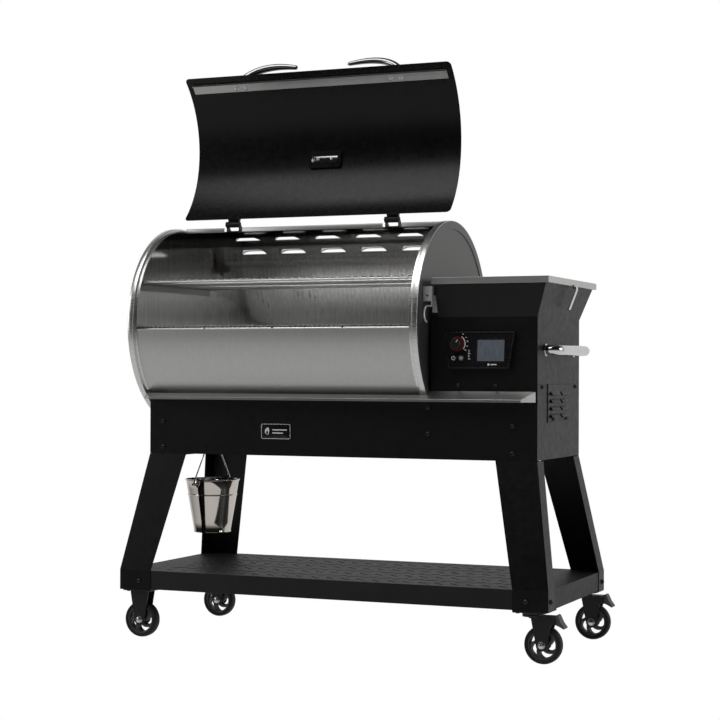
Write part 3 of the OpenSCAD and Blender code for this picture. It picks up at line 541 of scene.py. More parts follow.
ring_lo, ring_hi = mm_box("end_rings")
RING_R = (ring_hi.z - ring_lo.z) / 2
AXIS_Z = (ring_hi.z + ring_lo.z) / 2
RING_W = 17.0
LEFT, RIGHT = ring_lo.x, ring_hi.x
MID = (LEFT + RIGHT) / 2
SKIN_L, SKIN_R = LEFT + RING_W, RIGHT - RING_W
SKIN_OUT, SKIN_IN = RING_R - 9.0, RING_R - 11.5
CAP_R, CAP_SINK = 270.0, 1.9
HINGES = (MID - 10 - 258.0, MID - 10 + 258.0)
HINGE_GAP = 30.0
PIVOT = Vector((0, 23.5, 1213.7))
LID_R, LID_T, LID_OPEN = 286.5, 2.0, 134.5
LID_REAR, LID_FRONT = 86.0, 183.0
OPEN_REAR, OPEN_FRONT = 86.5, 183.5


def on_barrel(x, angle, r):
    a = math.radians(angle)
    return Vector((x, r * math.cos(a), AXIS_Z + r * math.sin(a)))


def arc_place(x, angle, r):
    """A placement at an angle on the barrel: x along it, y towards smaller angles, z outward."""
    a = math.radians(angle)
    z = Vector((0, math.cos(a), math.sin(a)))
    x_axis = Vector((1, 0, 0))
    m = Matrix((x_axis, z.cross(x_axis), z)).transposed().to_4x4()
    m.translation = on_barrel(x, angle, r)
    return m


OPEN = (
    Matrix.Translation(PIVOT)
    @ Matrix.Rotation(math.radians(-LID_OPEN), 4, "X")
    @ Matrix.Translation(-PIVOT)
)


# ---------------------------------------------------------------- barrel

VENT_W, VENT_PITCH, VENT_MID = 85.0, 133.0, MID + 8
VENT_ROWS = (55.0, 70.0)
ROW_SHIFT = (-10.0, 0.0)
VENT_HALF = 12.0
HOOD_H = 14.0
BAND = 6.0


def vent_outline(count_side, count_top):
    """The hole of a vent as (x, height up the wall), sampled like the patch around it."""
    long_half, short_half, h = VENT_W / 2 - 1, VENT_W / 2 - 13, VENT_HALF
    left = [
        (-long_half + (long_half - short_half) * (t**1.6), -h + 2 * h * t)
        for t in (i / count_side for i in range(count_side))
    ]
    top = [(-short_half + 2 * short_half * i / count_top, h) for i in range(count_top)]
    right = [(-x, z) for x, z in reversed(left[1:] + [(-short_half, h)])]
    bottom = [(long_half - 2 * long_half * i / count_top, -h) for i in range(count_top)]
    return left + top + right + bottom


def patch_outline(count_side, count_top, half_x, half_s):
    left = [(-half_x, -half_s + 2 * half_s * i / count_side) for i in range(count_side)]
    top = [(-half_x + 2 * half_x * i / count_top, half_s) for i in range(count_top)]
    right = [(half_x, half_s - 2 * half_s * i / count_side) for i in range(count_side)]
    bottom = [(half_x - 2 * half_x * i / count_top, -half_s) for i in range(count_top)]
    return left + top + right + bottom


def barrel_shell():
    b = Build()
    to_deg = 180 / math.pi / SKIN_OUT

    def band(a0, a1, x0, x1, steps):
        """Both skins between two angles and two places along the barrel, without walls."""
        base, n = len(b.verts), 2 * (steps + 1)
        for r in (SKIN_OUT, SKIN_IN):
            for i in range(steps + 1):
                b.verts += [on_barrel(x, a0 + (a1 - a0) * i / steps, r) for x in (x0, x1)]
        for i in range(steps):
            f = [2 * i, 2 * i + 1, 2 * i + 3, 2 * i + 2]
            b.faces += [[base + k for k in f], [base + n + k for k in reversed(f)]]
            b.mats += [0, 1]

    x_in, x_out = LEFT + 4, RIGHT - 4
    low, high = VENT_ROWS[0] - BAND, VENT_ROWS[1] + BAND
    band(OPEN_FRONT, 360 + low, x_in, x_out, 92)
    band(VENT_ROWS[0] + BAND, VENT_ROWS[1] - BAND, x_in, x_out, 2)
    band(high, OPEN_REAR, x_in, x_out, 4)
    side_n, top_n = 8, 10
    half_x = VENT_W / 2 + 6
    half_s = math.radians(BAND) * SKIN_OUT
    for row, shift in zip(VENT_ROWS, ROW_SHIFT):
        mid = VENT_MID + shift
        edges = [x_in]
        for i in range(-2, 3):
            x = mid + i * VENT_PITCH
            edges += [x - half_x, x + half_x]
        edges.append(x_out)
        for x0, x1 in zip(edges[::2], edges[1::2]):
            band(row - BAND, row + BAND, x0, x1, side_n)
        outer = patch_outline(side_n, top_n, half_x, half_s)
        hole = vent_outline(side_n, top_n)
        n = len(outer)
        for i in range(-2, 3):
            x = mid + i * VENT_PITCH
            steps = 3
            for r, mat, flip in ((SKIN_OUT, 0, False), (SKIN_IN, 1, True)):
                base = len(b.verts)
                for s in range(steps + 1):
                    t = s / steps
                    for p, q in zip(outer, hole):
                        px, ps = p[0] + (q[0] - p[0]) * t, p[1] + (q[1] - p[1]) * t
                        b.verts.append(on_barrel(x + px, row + ps * to_deg, r))
                for s in range(steps):
                    for k in range(n):
                        j = (k + 1) % n
                        f = [s * n + k, s * n + j, (s + 1) * n + j, (s + 1) * n + k]
                        b.faces.append([base + m for m in (f[::-1] if flip else f)])
                        b.mats.append(mat)
            a = len(b.verts) - n
            c = a - n * (steps + 1)
            for k in range(n):
                j = (k + 1) % n
                b.faces.append([a + k, a + j, c + j, c + k])
                b.mats.append(0)
            hood(b, x, row)
    rim_ring(b, OPEN_FRONT, x_in, x_out)
    rear_lip(b)
    return b.finish(
        "barrel_skin", [SKIN, INNER], "cart", ["barrel_shell"], weld=True
    )


def hood(b, x, row):
    """A pressed louvre outside a vent, open towards the lower edge."""
    place = arc_place(x, row, SKIN_OUT)
    cols, rows = 18, 6

    def grid(drop, back):
        g = []
        for i in range(rows + 1):
            v = i / rows
            line = []
            for j in range(cols + 1):
                u = 2 * j / cols - 1
                w = VENT_W / 2 + 3 - 11 * (1 - v) ** 1.5
                rise = HOOD_H * math.sin(v * math.pi / 2) * (1 - abs(u) ** 5)
                y = -VENT_HALF - 3 + (2 * VENT_HALF + 5) * v
                sag = -(y * y) / (2 * SKIN_OUT)
                line.append((u * (w - back), y, sag + max(rise - drop, -1.0)))
            g.append(line)
        return g

    b.slab(grid(0, 0), grid(1.3, 0.6), 0, 1, place)


def rim_ring(b, angle, x0, x1):
    """A rolled edge along an edge of the opening."""
    r = (SKIN_OUT + SKIN_IN) / 2
    p, q = on_barrel(x0, angle, r), on_barrel(x1, angle, r)
    b.rod(p, q, 1.5, 12)


def rear_lip(b):
    """The upright lip along the rear edge of the opening, open at the hinges."""
    breaks = [x + e * HINGE_GAP for x in HINGES for e in (-1, 1)]
    stops = [SKIN_L + 2, *breaks, SKIN_R - 2]
    for x0, x1 in zip(stops[::2], stops[1::2]):
        place = arc_place(0, OPEN_REAR - 1, SKIN_OUT)
        b.box((x0, 0.1, -1.0), (x1, 1.9, 12.8), 0.6, place=place)


def ring_band():
    """The two end bands with their discs; a thin inner strip of each lies under the lid."""
    b = Build()
    r, w, strip = RING_R, RING_W, 26.0
    low = SKIN_OUT + 0.9
    profile = [(0, CAP_SINK), (CAP_R, CAP_SINK), (CAP_R, 0.0), (r - 1.4, 0.0), (r - 0.4, 0.4)]
    profile += [(r, 1.4), (r, w - 1.4), (r - 0.4, w - 0.4)]
    profile += [(r - 1.4, w), (low, w), (low, strip), (SKIN_OUT + 0.15, strip)]
    profile += [(SKIN_OUT + 0.15, 2.0), (0, 2.0)]
    for x, way in ((LEFT, 1), (RIGHT, -1)):
        b.lathe(profile, 240, turn_to((x, 0, AXIS_Z), (way, 0, 0)))
    for i, f in enumerate(b.faces):
        mid = sum((b.verts[k] for k in f), Vector()) / len(f)
        out = math.hypot(mid.y, mid.z - AXIS_Z)
        # The disc faces take the darkened disc steel: painted shade.
        if min(abs(mid.x - LEFT), abs(mid.x - RIGHT)) < CAP_SINK + 0.05 and out < r - 1.5:
            b.mats[i] = 1
    return b.finish(
        "end_bands", [RING_STEEL, SHADED_CAP_STEEL], "cart", ["end_rings"], angle=50
    )


barrel_shell()
ring_band()


# ---------------------------------------------------------------- lid

LID_L, LID_RT = SKIN_L + 1, SKIN_R - 1
CORNER = 14.0


def lid_shell():
    b = Build(OPEN)
    span = math.radians(LID_FRONT - LID_REAR) * LID_R
    near = [0, 0.5, 1.4, 3, 5.5, 8.5, 11.5, CORNER]
    middle = 56
    rows = near + [CORNER + (span - 2 * CORNER) * i / middle for i in range(1, middle)]
    rows += [span - d for d in reversed(near)]
    cols = 24

    def grid(r, shrink):
        g = []
        for d in rows:
            e = min(d, span - d)
            inset = CORNER - math.sqrt(max(0.0, CORNER**2 - max(CORNER - e, 0) ** 2))
            d2 = min(max(d, shrink), span - shrink)
            a = LID_REAR + math.degrees(d2 / LID_R)
            x0, x1 = LID_L + inset + shrink, LID_RT - inset - shrink
            g.append([on_barrel(x0 + (x1 - x0) * j / cols, a, r) for j in range(cols + 1)])
        return g

    b.slab(grid(LID_R + LID_T, 0), grid(LID_R, 0))
    o = b.finish("lid_skin", LID_BLACK, "lid", ["lid_shell"], angle=40)
    m = o.modifiers.new("edge", "BEVEL")
    m.width = 0.7 * MM
    m.segments = 2
    m.limit_method = "ANGLE"
    m.angle_limit = math.radians(50)
    m.harden_normals = True
    return o


HANDLE_OFFSET = 251.0
HANDLE_ANGLE = LID_FRONT - 8.7
NUT_HALF = 16.0
HORN_REACH, HORN_SPAN, HORN_FOOT, HORN_TILT = 72.0, 188.0, -18.0, math.radians(17)
HORN_TIP = 0.04
BRACKET_ANGLE, BRACKET_R, BRACKET_NUT = LID_REAR + 41, LID_R - 8.2, 22.0


def horn_path(side):
    """A horn's middle line, which bows out and points towards the lid's middle, and its radii."""
    steps = 40
    path, radii = [], []
    for i in range(steps + 1):
        a = i / steps
        rise = HORN_REACH * math.sin(math.radians(115 * a**0.6)) + 4 * (1 - a)
        p = Matrix.Rotation(HORN_TILT, 3, "X") @ Vector((HORN_FOOT + HORN_SPAN * a, 0, rise))
        if side > 0:
            p.x = -p.x
        path.append(p)
        r = 12.5 - 6 * a * a - 3 * (1 - a) ** 3
        t = max(0, a - 1 + HORN_TIP) / HORN_TIP
        radii.append(r * math.sqrt(max(0.02, 1 - t**2)))
    return path, radii


def lid_handles():
    for side in (-1, 1):
        b = Build(OPEN @ arc_place(MID + side * HANDLE_OFFSET, HANDLE_ANGLE, LID_R + LID_T))
        outline = []
        for cx, a0 in ((NUT_HALF, -90), (-NUT_HALF, 90)):
            for i in range(13):
                a = math.radians(a0 + 15 * i)
                outline.append((cx + 11 * math.cos(a), 11 * math.sin(a)))
        b.prism(outline, 2, 0, 12, 2.5, segments=3)
        path, radii = horn_path(side)
        b.sweep(path, radii, 28, squash=0.9)
        hand = "left" if side < 0 else "right"
        nodes = ["lid_handles"] if side < 0 else []
        b.finish("lid_handle_" + hand, SHADED_HORN_STEEL, "lid", nodes, angle=60)


def hexagon(r):
    turns = [math.radians(60 * i) for i in range(6)]
    return [(r * math.cos(t), r * math.sin(t)) for t in turns]


def acorn(b, place, r=6.0):
    """A domed nut."""
    b.prism(hexagon(r * 1.05), 2, 0.0, 3.6, 0.5, place=place)
    dome = [(r * 1.25, -0.4), (r * 1.25, 0.3), (r * 0.9, 0.5), (r * 0.88, 3.4)]
    for a in (0, 20, 40, 60, 76):
        a = math.radians(a)
        dome.append((r * 0.86 * math.cos(a), 3.6 + r * 0.8 * math.sin(a)))
    b.lathe([(0, -0.4)] + dome + [(0, 3.6 + r * 0.8)], 24, place)


def lid_fasteners():
    b = Build(OPEN)
    flip = Matrix.Rotation(math.pi, 4, "X")
    for s in (-1, 1):
        for e in (-1, 1):
            x = MID + s * HANDLE_OFFSET + e * NUT_HALF
            acorn(b, arc_place(x, HANDLE_ANGLE, LID_R - 1.6) @ flip)
    for e in (-1, 1):
        acorn(b, arc_place(MID + e * BRACKET_NUT, BRACKET_ANGLE, BRACKET_R) @ flip, 5.0)
    b.finish("lid_nuts", ZINC, "lid", ["lid_fasteners"], angle=45)

    b = Build(OPEN @ arc_place(MID, BRACKET_ANGLE, BRACKET_R) @ flip)
    b.box((-42, -8, 0), (42, 8, 1.4), 0.5)
    b.finish("lid_bracket_strip", SHADED_HORN_STEEL, "lid", angle=40)


lid_shell()
lid_handles()
lid_fasteners()


# ---------------------------------------------------------------- racks


RACK_RODS, RACK_WIRE, RACK_FRAME = 36, 2.0, 3.0
GRATE_PANELS, GRATE_GAP, GRATE_BARS = 4, 4.0, 14
BAR_R, CROSS_R = 3.1, 3.3


def upper_rack():
    lo, hi = mm_box("upper_rack")
    b = Build()
    top = hi.z - 2.2
    low = top - 5.2
    for i in range(RACK_RODS + 1):
        x = lo.x + 5 + (hi.x - lo.x - 10) * i / RACK_RODS
        path = [(x, lo.y + 2, top - 7), (x, lo.y + 2.2, top - 3), (x, lo.y + 4, top - 0.6)]
        b.sweep(path + [(x, lo.y + 7, top), (x, hi.y - 3, top)], RACK_WIRE, 10)
    for y in (lo.y + 4, lo.y + 112, hi.y - 110, hi.y - 5):
        b.rod((lo.x + 1, y, low), (hi.x - 1, y, low), RACK_FRAME, 14)
    for x in (lo.x + 3, hi.x - 3):
        b.rod((x, lo.y + 2, low), (x, hi.y - 2, low), RACK_FRAME, 14)
    b.finish("upper_rack_wires", RACK_STEEL, "rack", ["upper_rack"])


def main_grates():
    lo, hi = mm_box("main_grates")
    w = (hi.x - lo.x - GRATE_GAP * (GRATE_PANELS - 1)) / GRATE_PANELS
    bar_z, cross_z = hi.z - 3.2, hi.z - 9.6
    b = Build()
    for p in range(GRATE_PANELS):
        x0 = lo.x + p * (w + GRATE_GAP)
        for i in range(GRATE_BARS + 1):
            x = x0 + 3.5 + (w - 7) * i / GRATE_BARS
            b.rod((x, lo.y + 1, bar_z), (x, hi.y - 1, bar_z), BAR_R, 12)
        for y in (lo.y + 3, -87, 87, hi.y - 3):
            b.rod((x0 + 0.5, y, cross_z), (x0 + w - 0.5, y, cross_z), CROSS_R, 12)
    b.finish("grate_bars", RACK_STEEL, "grates", ["main_grates"])


upper_rack()
main_grates()


# ---------------------------------------------------------------- wheels

WHEEL_R = 51.5


def spoke(turn, steps=10):
    """The outline of a curved spoke that leaves the hub at an angle and widens at the rim."""
    near, far = [], []
    for k in range(steps + 1):
        t = k / steps
        r = 10.5 + 26.5 * t
        a = math.radians(turn + 52 * t**1.3)
        half = (6.6 + 2.4 * t**3 - 1.2 * math.sin(math.pi * t)) / r
        near.append((r * math.cos(a - half), r * math.sin(a - half)))
        far.append((r * math.cos(a + half), r * math.sin(a + half)))
    return near + far[::-1]


def wheel(which, body):
    lo, hi = mm_box("tyre_" + which)
    centre = (lo + hi) / 2
    half = (hi.y - lo.y) / 2
    place = turn_to(centre, (0, -1, 0))
    b = Build()
    profile = [(40.8, -half + 3.4), (43, -half + 1.4), (46, -half + 0.3), (48, -half + 0.9)]
    profile += [(50, -half + 3.2), (51, -half + 6.5), (WHEEL_R - 0.1, -half + 10), (WHEEL_R, 0)]
    profile += [(x, -z) for x, z in reversed(profile[:-1])]
    b.lathe(profile, 96, place, closed=True)
    b.finish("tread_" + which, RUBBER, body, ["tyre_" + which], angle=45)

    b = Build()
    rim = [(35.0, -9.5), (36.2, -12), (40, -13), (41.2, -11.5), (41.2, 11.5), (40, 13)]
    rim += [(36.2, 12), (35.0, 9.5)]
    b.lathe(rim, 96, place, closed=True)
    hub = [(5.3, -15), (9.5, -15), (11.5, -13.4), (12.5, -8), (12.5, 8), (11.5, 13.4)]
    hub += [(9.5, 15), (5.3, 15)]
    b.lathe(hub, 48, place, closed=True)
    for i in range(5):
        for face in (-1, 1):
            z0, z1 = (1.5, 9.5) if face > 0 else (-9.5, -1.5)
            b.prism(spoke(72 * i), 2, z0, z1, 1.0, place=place)
    web = [(12.0, -1.6), (15.5, -1.6), (15.5, 1.6), (12.0, 1.6)]
    b.lathe(web, 48, place, closed=True)
    b.finish("core_" + which, RIM_GREY, body, ["rim_" + which])


WHEELS = {
    "front_left": "cart",
    "rear_left": "cart",
    "front_right": "caster_front",
    "rear_right": "caster_rear",
}
for side in WHEELS:
    wheel(side, "wheel_" + side)


def hub_bolts():
    for which, body in WHEELS.items():
        lo, hi = mm_box("tyre_" + which)
        c = (lo + hi) / 2
        b = Build()
        for s in (-1, 1):
            place = turn_to((c.x, c.y + s * 19.6, c.z), (0, s, 0))
            b.lathe([(0, 0), (10.5, 0), (10.5, 1.2), (0, 1.2)], 40, place)
            b.prism(hexagon(9.3), 2, 1.0, 6.2, 0.7, place=place)
            b.lathe([(0, 6), (5.0, 6), (5.0, 6.6), (4.2, 7.2), (0, 7.2)], 32, place)
        b.finish("hub_bolts_" + which, ZINC, body, angle=40)


hub_bolts()


# ---------------------------------------------------------------- bucket

BAIL_TILT = math.radians(-10)


def bucket():
    lo, hi = mm_box("bucket")
    place = Matrix.Translation(((lo.x + hi.x) / 2, (lo.y + hi.y) / 2, 0))
    place = place @ Matrix.Rotation(BAIL_TILT, 4, "Z")
    r0, r1 = 54.0, 80.0
    z0, rim_z = lo.z, hi.z

    def wall(z):
        return r0 + (r1 - r0) * (z - z0) / (rim_z - z0)

    def bead(z, size):
        angles = [math.radians(a) for a in range(-80, 81, 20)]
        return [(wall(z) + size * math.cos(a), z + size * math.sin(a)) for a in angles]

    outside = [(0, z0 + 1.2), (r0 - 7, z0 + 1.2), (r0 - 5, z0), (r0 - 0.5, z0)]
    outside += [(r0 + 1.6, z0 + 1.2), (r0 + 1.8, z0 + 3.6), (wall(z0 + 6), z0 + 6)]
    outside += [(wall(z0 + 30), z0 + 30)] + bead(402, 2.2) + [(wall(420), 420)]
    outside += [(wall(rim_z - 7), rim_z - 7)] + bead(rim_z - 2.8, 2.7)
    inside = [(wall(rim_z - 2) - 1.4, rim_z - 2), (wall(402) - 1.4, 402)]
    inside += [(r0 - 1.4, z0 + 3), (0, z0 + 3)]
    b = Build(place)
    b.lathe(outside + inside, 128)
    for s in (-1, 1):
        ear = turn_to((0, s * (wall(rim_z - 14) - 1.0), rim_z - 14), (0, s, 0))
        boss = [(0, 0), (10.5, 0), (10.5, 2.2), (9.3, 3.4), (4.5, 3.4), (4, 5.6), (0, 5.6)]
        b.lathe(boss, 32, ear)
    b.finish("bucket_body", BUCKET_STEEL, "pail", ["bucket"], angle=50)

    lo, hi = mm_box("bucket_bail")
    ear_z = rim_z - 14
    r, half = 22.0, 94.0
    top = hi.z - 2 - r
    rise = top - ear_z
    reach = math.hypot(half, rise)
    a0 = math.degrees(math.acos(r / reach) - math.atan2(rise, half))

    def over(a):
        return Vector((0, r * math.cos(math.radians(a)), top + r * math.sin(math.radians(a))))

    leg = [Vector((0, half, ear_z)).lerp(over(a0), i / 8) for i in range(9)]
    path = leg + [over(a0 + (180 - 2 * a0) * i / 32) for i in range(1, 32)]
    path += [Vector((0, -p.y, p.z)) for p in reversed(leg)]
    b = Build(place)
    b.sweep(path, 2.0, 16)
    for s in (-1, 1):
        b.rod((0, s * 75, ear_z), (0, s * 96, ear_z), 2.0, 16)
        b.rod((0, s * 94.2, ear_z), (0, s * 96.5, ear_z), 3.4, 16)
    b.finish("bucket_handle", CHROME, "bail", ["bucket_bail"])


bucket()


# ---------------------------------------------------------------- controls

FRONT_Y = -201.0
TILT = math.radians(4.5)
PANEL_Y, PANEL_Z = -211, 831
PANEL = (
    Matrix.Translation((0, PANEL_Y, PANEL_Z))
    @ Matrix.Rotation(-TILT, 4, "X")
    @ Matrix.Translation((0, 0, -PANEL_Z))
)
FULL_TURN = (0, 359.9)


def face_ring(b, cx, cz, r0, r1, a0, a1, y0, y1, mat=0, steps=24):
    """A flat arc on the panel, angles from the right and anticlockwise."""

    def arc(r, start, end):
        turns = [math.radians(start + (end - start) * i / steps) for i in range(steps + 1)]
        return [(cx + r * math.cos(t), cz + r * math.sin(t)) for t in turns]

    b.prism(arc(r1, a0, a1) + arc(r0, a1, a0), 1, y0, y1, mat=mat)


def controller():
    b = Build()
    corners = [(341, 780, -215), (513, 780, -215), (529, 882, -207), (327, 882, -207)]
    verts = [(x, y, z) for x, z, y in corners] + [(x, -200.6, z) for x, z, _ in corners]
    faces = [(0, 1, 2, 3), (7, 6, 5, 4)]
    faces += [(k, k + 4, (k + 1) % 4 + 4, (k + 1) % 4) for k in range(4)]
    b.add(verts, faces)
    p = Build(PANEL)
    rim, low, high = 3.4, 780.8, 880.8
    slope = rim * 14.2 / 100
    (l0, l1), (r0, r1) = (341.2, 327.3), (512.8, 528.7)
    strips = [
        [(l0, low), (r0, low), (r0 + slope, low + rim), (l0 - slope, low + rim)],
        [(l1 + slope, high - rim), (r1 - slope, high - rim), (r1, high), (l1, high)],
        [(l0, low), (l0 + rim, low), (l1 + rim, high), (l1, high)],
        [(r0 - rim, low), (r0, low), (r1, high), (r1 - rim, high)],
    ]
    for strip in strips:
        p.prism(strip, 1, -2.2, 0.6, 0.7)
    outline = rounded_rect(420.0, 798.0, 502.0, 860.5, 3.0)
    p.prism(outline, 1, -0.9, 0.4, 0.4)
    base = len(b.verts)
    b.verts += p.verts
    b.faces += [[i + base for i in f] for f in p.faces]
    b.mats += p.mats
    b.finish("control_panel", PANEL_BLACK, "cart", ["controller_bezel"])

    b = Build(PANEL)
    b.prism(rounded_rect(423.0, 801.0, 499.0, 857.5, 1.5), 1, -1.7, -0.5, 0.3)
    b.finish("display", SCREEN, "cart", ["controller_screen"])

    kx, kz = 363.0, 848.0
    b = Build(PANEL)
    steps = 72
    place = turn_to((kx, 0, kz), (0, -1, 0))
    body_profile = [(0, 1.2), (16.4, 1.2), (16.6, 3.0), (15.2, 6.0), (14.6, 15.0), (13.4, 16.6)]
    body_profile += [(11.5, 16.9), (10.8, 16.2), (0, 16.2)]
    b.lathe(body_profile, steps, place)
    for i in range(24):
        a = math.radians(15 * i)
        m = place @ Matrix.Rotation(a, 4, "Z")
        b.box((14.2, -0.8, 4.5), (15.5, 0.8, 15.2), 0.3, place=m)
    pointer = place @ Matrix.Rotation(0.9, 4, "Z")
    b.box((4.0, -0.9, 16.0), (12.5, 0.9, 16.9), 0.3, mat=1, place=pointer)
    b.lathe([(0, -8.2), (3.9, -8.2), (3.9, 1.3), (0, 1.3)], 32, place)
    b.finish("temperature_knob", [KNOB_BLACK, PRINT], "knob", ["control_knob"])

    b = Build(PANEL)
    face_ring(b, kx, kz, 17.6, 19.6, *FULL_TURN, -0.9, 0.2, steps=64)
    b.finish("knob_ring", RED, "cart")

    b = Build(PANEL)
    y0, y1 = -0.45, 0.1
    face_ring(b, kx, kz, 22.4, 24.6, -38, 58, y0, y1)
    for i, a in enumerate((-35, -12, 11, 34, 57)):
        ang = math.radians(a)
        x, z = kx + 31 * math.cos(ang), kz + 31 * math.sin(ang)
        b.box((x - 2.3, y0, z - 0.7), (x + 2.3, y1, z + 0.7))
        if i % 2 == 0:
            b.box((x - 2.3, y0, z + 2.0), (x + 0.6, y1, z + 3.2))
    for i in range(4):
        z = 806 + i * 7.2
        b.box((396, y0, z), (403 - (i % 2) * 2, y1, z + 1.3))
        b.box((396, y0, z + 2.6), (400, y1, z + 3.6))
    face_ring(b, 455, 791.5, 0.0, 3.0, *FULL_TURN, y0, y1, steps=16)
    b.box((461, y0, 790), (478, y1, 793), 0)
    b.finish("panel_marks", PRINT, "cart")

    key_z = 809.0
    for x, name, node, body in (
        (355.0, "power_key_cap", "power_button", "power_key"),
        (377.0, "light_key_cap", "light_button", "light_key"),
    ):
        b = Build(PANEL)
        place = turn_to((x, 0, key_z), (0, -1, 0))
        b.lathe([(0, -3.9), (8.9, -3.9), (8.9, 2.6), (8.2, 3.4), (0, 3.4)], 48, place)
        face = -3.9
        if node == "power_button":
            face_ring(b, x, key_z, 4.2, 5.6, 115, 425, face, -3.2, 1)
            b.box((x - 0.7, face, key_z + 0.5), (x + 0.7, -3.2, key_z + 6.0), 0, 1)
        else:
            face_ring(b, x, key_z, 0.0, 2.7, *FULL_TURN, face, -3.2, 1)
            for i in range(8):
                turn = Matrix.Rotation(math.radians(45 * i), 4, "Y")
                m = Matrix.Translation((x, 0, key_z)) @ turn
                b.box((4.0, face, -0.6), (6.4, -3.2, 0.6), 0, 1, m)
        b.finish(name, [KNOB_BLACK, PRINT], body, [node])


controller()


# ---------------------------------------------------------------- badge


def badge():
    lo, hi = mm_box("badge_plate")
    cx, cz = (lo.x + hi.x) / 2, (lo.z + hi.z) / 2
    b = Build()
    b.prism(rounded_rect(lo.x, lo.z, hi.x, hi.z, 5), 1, lo.y, hi.y, 0.4)
    outline = rounded_rect(lo.x + 2.5, lo.z + 2.5, hi.x - 2.5, hi.z - 2.5, 4.5)
    b.sweep([(x, lo.y, z) for x, z in outline], 0.75, 8, 1, closed=True)
    flame_x, points = cx - 27, 32
    flame, heart = [], []
    for i in range(points):
        a = math.pi * 2 * i / points
        r = 8.6 * (1 - 0.26 * math.cos(a)) * (1 + 0.1 * math.sin(3 * a))
        x, z = r * 0.78 * math.sin(a), -r * 1.15 * math.cos(a)
        flame.append((flame_x + x, cz - 2 + z))
        heart.append((flame_x + x * 0.45, cz - 4.5 + z * 0.45))
    b.prism(flame, 1, lo.y - 0.5, lo.y + 0.2, mat=1)
    b.prism(heart, 1, lo.y - 0.8, lo.y, mat=0)
    for i, w in enumerate((46, 34)):
        x, z = cx - 11, cz + 4.5 - 9 * i
        bar = rounded_rect(x, z - 1.6, x + w, z + 1.6, 1.5)
        b.prism(bar, 1, lo.y - 0.4, lo.y + 0.2, mat=1)
    b.finish("badge_face", [PANEL_BLACK, PRINT], "cart", ["badge_plate"])


badge()


# ---------------------------------------------------------------- screws


def socket_head(b, place, r):
    """A low round head with a hexagon socket."""
    h = r * 0.85
    profile = [(0, 0), (r, 0), (r, h * 0.25), (r * 0.86, h * 0.75), (r * 0.6, h), (r * 0.5, h)]
    b.lathe(profile + [(r * 0.46, h * 0.55), (0, h * 0.5)], 28, place)


APRON_BOLTS = [(x, z) for x in (-550, 519) for z in (551, 626)]
COLUMN_BOLTS = [(276, 601), (276, 674)]
HOPPER_BOLTS = [(364, 735), (471, 735)]
BIG, MEDIUM, SMALL = 6.6, 5.5, 5.0


def cart_bolts():
    b = Build()
    for spots, r in ((APRON_BOLTS + COLUMN_BOLTS, BIG), (HOPPER_BOLTS, MEDIUM)):
        for x, z in spots:
            socket_head(b, turn_to((x, FRONT_Y, z), (0, -1, 0)), r)
    for x, z in APRON_BOLTS:
        socket_head(b, turn_to((x, -FRONT_Y, z), (0, 1, 0)), BIG)
    for s in (-1, 1):
        socket_head(b, turn_to((589, s * 159, 731), (1, 0, 0)), MEDIUM)
        socket_head(b, turn_to((591, s * 62, 643), (1, 0, 0)), SMALL)
    b.finish("panel_screws", DARK_ZINC, "cart", ["cart_bolts"])

    legs_lo, _ = mm_box("front_legs")
    _, legs_hi = mm_box("rear_legs")
    b = Build()
    for x_out, sx in ((legs_lo.x, -1), (legs_hi.x, 1)):
        for y_out, sy in ((legs_lo.y, -1), (legs_hi.y, 1)):
            socket_head(b, turn_to((x_out - sx * 62, y_out, 166), (0, sy, 0)), BIG)
            socket_head(b, turn_to((x_out, y_out - sy * 22, 166), (sx, 0, 0)), BIG)
            for dx, dy in ((22, 12), (88, 12), (22, 66), (88, 66)):
                x, y = x_out - sx * dx, y_out - sy * dy
                socket_head(b, turn_to((x, y, 139), (0, 0, -1)), 7.0)
    b.finish("foot_screws", DARK_ZINC, "cart")


cart_bolts()


# ---------------------------------------------------------------- stage and light


STAGE_SIZE = 60


def white_light():
    m = bpy.data.materials.new("floor_white")
    m.use_nodes = True
    nt = m.node_tree
    nt.nodes.clear()
    out = nt.nodes.new("ShaderNodeOutputMaterial")
    e = nt.nodes.new("ShaderNodeEmission")
    e.inputs["Color"].default_value = (1, 1, 1, 1)
    e.inputs["Strength"].default_value = 1.0
    nt.links.new(e.outputs["Emission"], out.inputs["Surface"])
    return m


def make_stage():
    """A white floor and a white wall that only the camera sees."""
    white = white_light()
    floor, wall = bmesh.new(), bmesh.new()
    bmesh.ops.create_grid(floor, x_segments=1, y_segments=1, size=STAGE_SIZE)
    bmesh.ops.create_uvsphere(wall, u_segments=32, v_segments=16, radius=STAGE_SIZE)
    for name, bm in (("studio_floor", floor), ("studio_wall", wall)):
        me = bpy.data.meshes.new(name)
        bm.to_mesh(me)
        bm.free()
        me.materials.append(white)
        o = bpy.data.objects.new(name, me)
        bpy.context.scene.collection.objects.link(o)
        for ray in ("diffuse", "glossy", "transmission", "shadow", "volume_scatter"):
            setattr(o, "visible_" + ray, False)


def area(name, place, aim, size, power):
    data = bpy.data.lights.new(name, "AREA")
    data.shape = "RECTANGLE"
    data.size, data.size_y = size
    data.energy = power
    o = bpy.data.objects.new(name, data)
    bpy.context.scene.collection.objects.link(o)
    o.location = place
    o.rotation_mode = "QUATERNION"
    o.rotation_quaternion = (Vector(aim) - Vector(place)).to_track_quat("-Z", "Y")


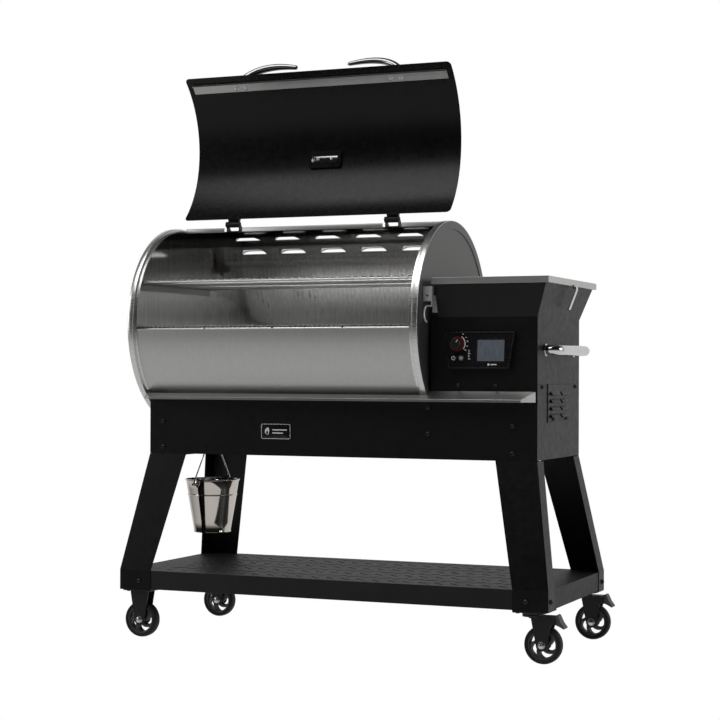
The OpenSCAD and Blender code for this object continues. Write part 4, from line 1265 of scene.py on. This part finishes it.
BACK_LIGHT, FLOOR_LIGHT, ROOM_LIGHT = 0.6, 0.55, 0.008
CEILING_SHARE = 0.15


def make_world():
    """A white room behind and below the object, and a dark one in front of it and above."""
    world = bpy.data.worlds.new("studio")
    world.use_nodes = True
    bpy.context.scene.world = world
    nt = world.node_tree
    nt.nodes.clear()
    out = nt.nodes.new("ShaderNodeOutputWorld")
    bg = nt.nodes.new("ShaderNodeBackground")
    coord = nt.nodes.new("ShaderNodeTexCoord")
    split = nt.nodes.new("ShaderNodeSeparateXYZ")
    nt.links.new(coord.outputs["Generated"], split.inputs[0])

    def spread(src, a, b, lo, hi):
        m = nt.nodes.new("ShaderNodeMapRange")
        m.interpolation_type = "SMOOTHSTEP"
        for k, v in zip(RANGE_INPUTS, (a, b, lo, hi)):
            m.inputs[k].default_value = v
        nt.links.new(src, m.inputs["Value"])
        return m.outputs["Result"]

    def calc(op, a, b):
        m = nt.nodes.new("ShaderNodeMath")
        m.operation = op
        for i, v in enumerate((a, b)):
            if isinstance(v, float):
                m.inputs[i].default_value = v
            else:
                nt.links.new(v, m.inputs[i])
        return m.outputs[0]

    y, z = split.outputs["Y"], split.outputs["Z"]
    back = spread(y, -0.1, 0.55, 0.0, BACK_LIGHT)
    back = calc("MULTIPLY", back, spread(z, 0.55, 0.9, 1.0, CEILING_SHARE))
    floor = spread(z, -0.03, -0.4, 0.0, FLOOR_LIGHT)
    total = calc("ADD", calc("MAXIMUM", back, floor), ROOM_LIGHT)
    bg.inputs["Color"].default_value = (1, 1, 1, 1)
    nt.links.new(total, bg.inputs["Strength"])
    nt.links.new(bg.outputs[0], out.inputs[0])


make_stage()
make_world()
area("softbox_top", (-0.8, -2.0, 4.3), (0, 0, 1.0), (3.2, 2.6), 85)
area("softbox_right", (3.6, -0.6, 1.6), (0, 0, 0.9), (1.2, 2.2), 22)
area("softbox_left", (-3.2, -2.2, 1.7), (-0.2, 0, 1.1), (0.7, 2.0), 20)
bpy.context.scene.view_settings.view_transform = "Standard"
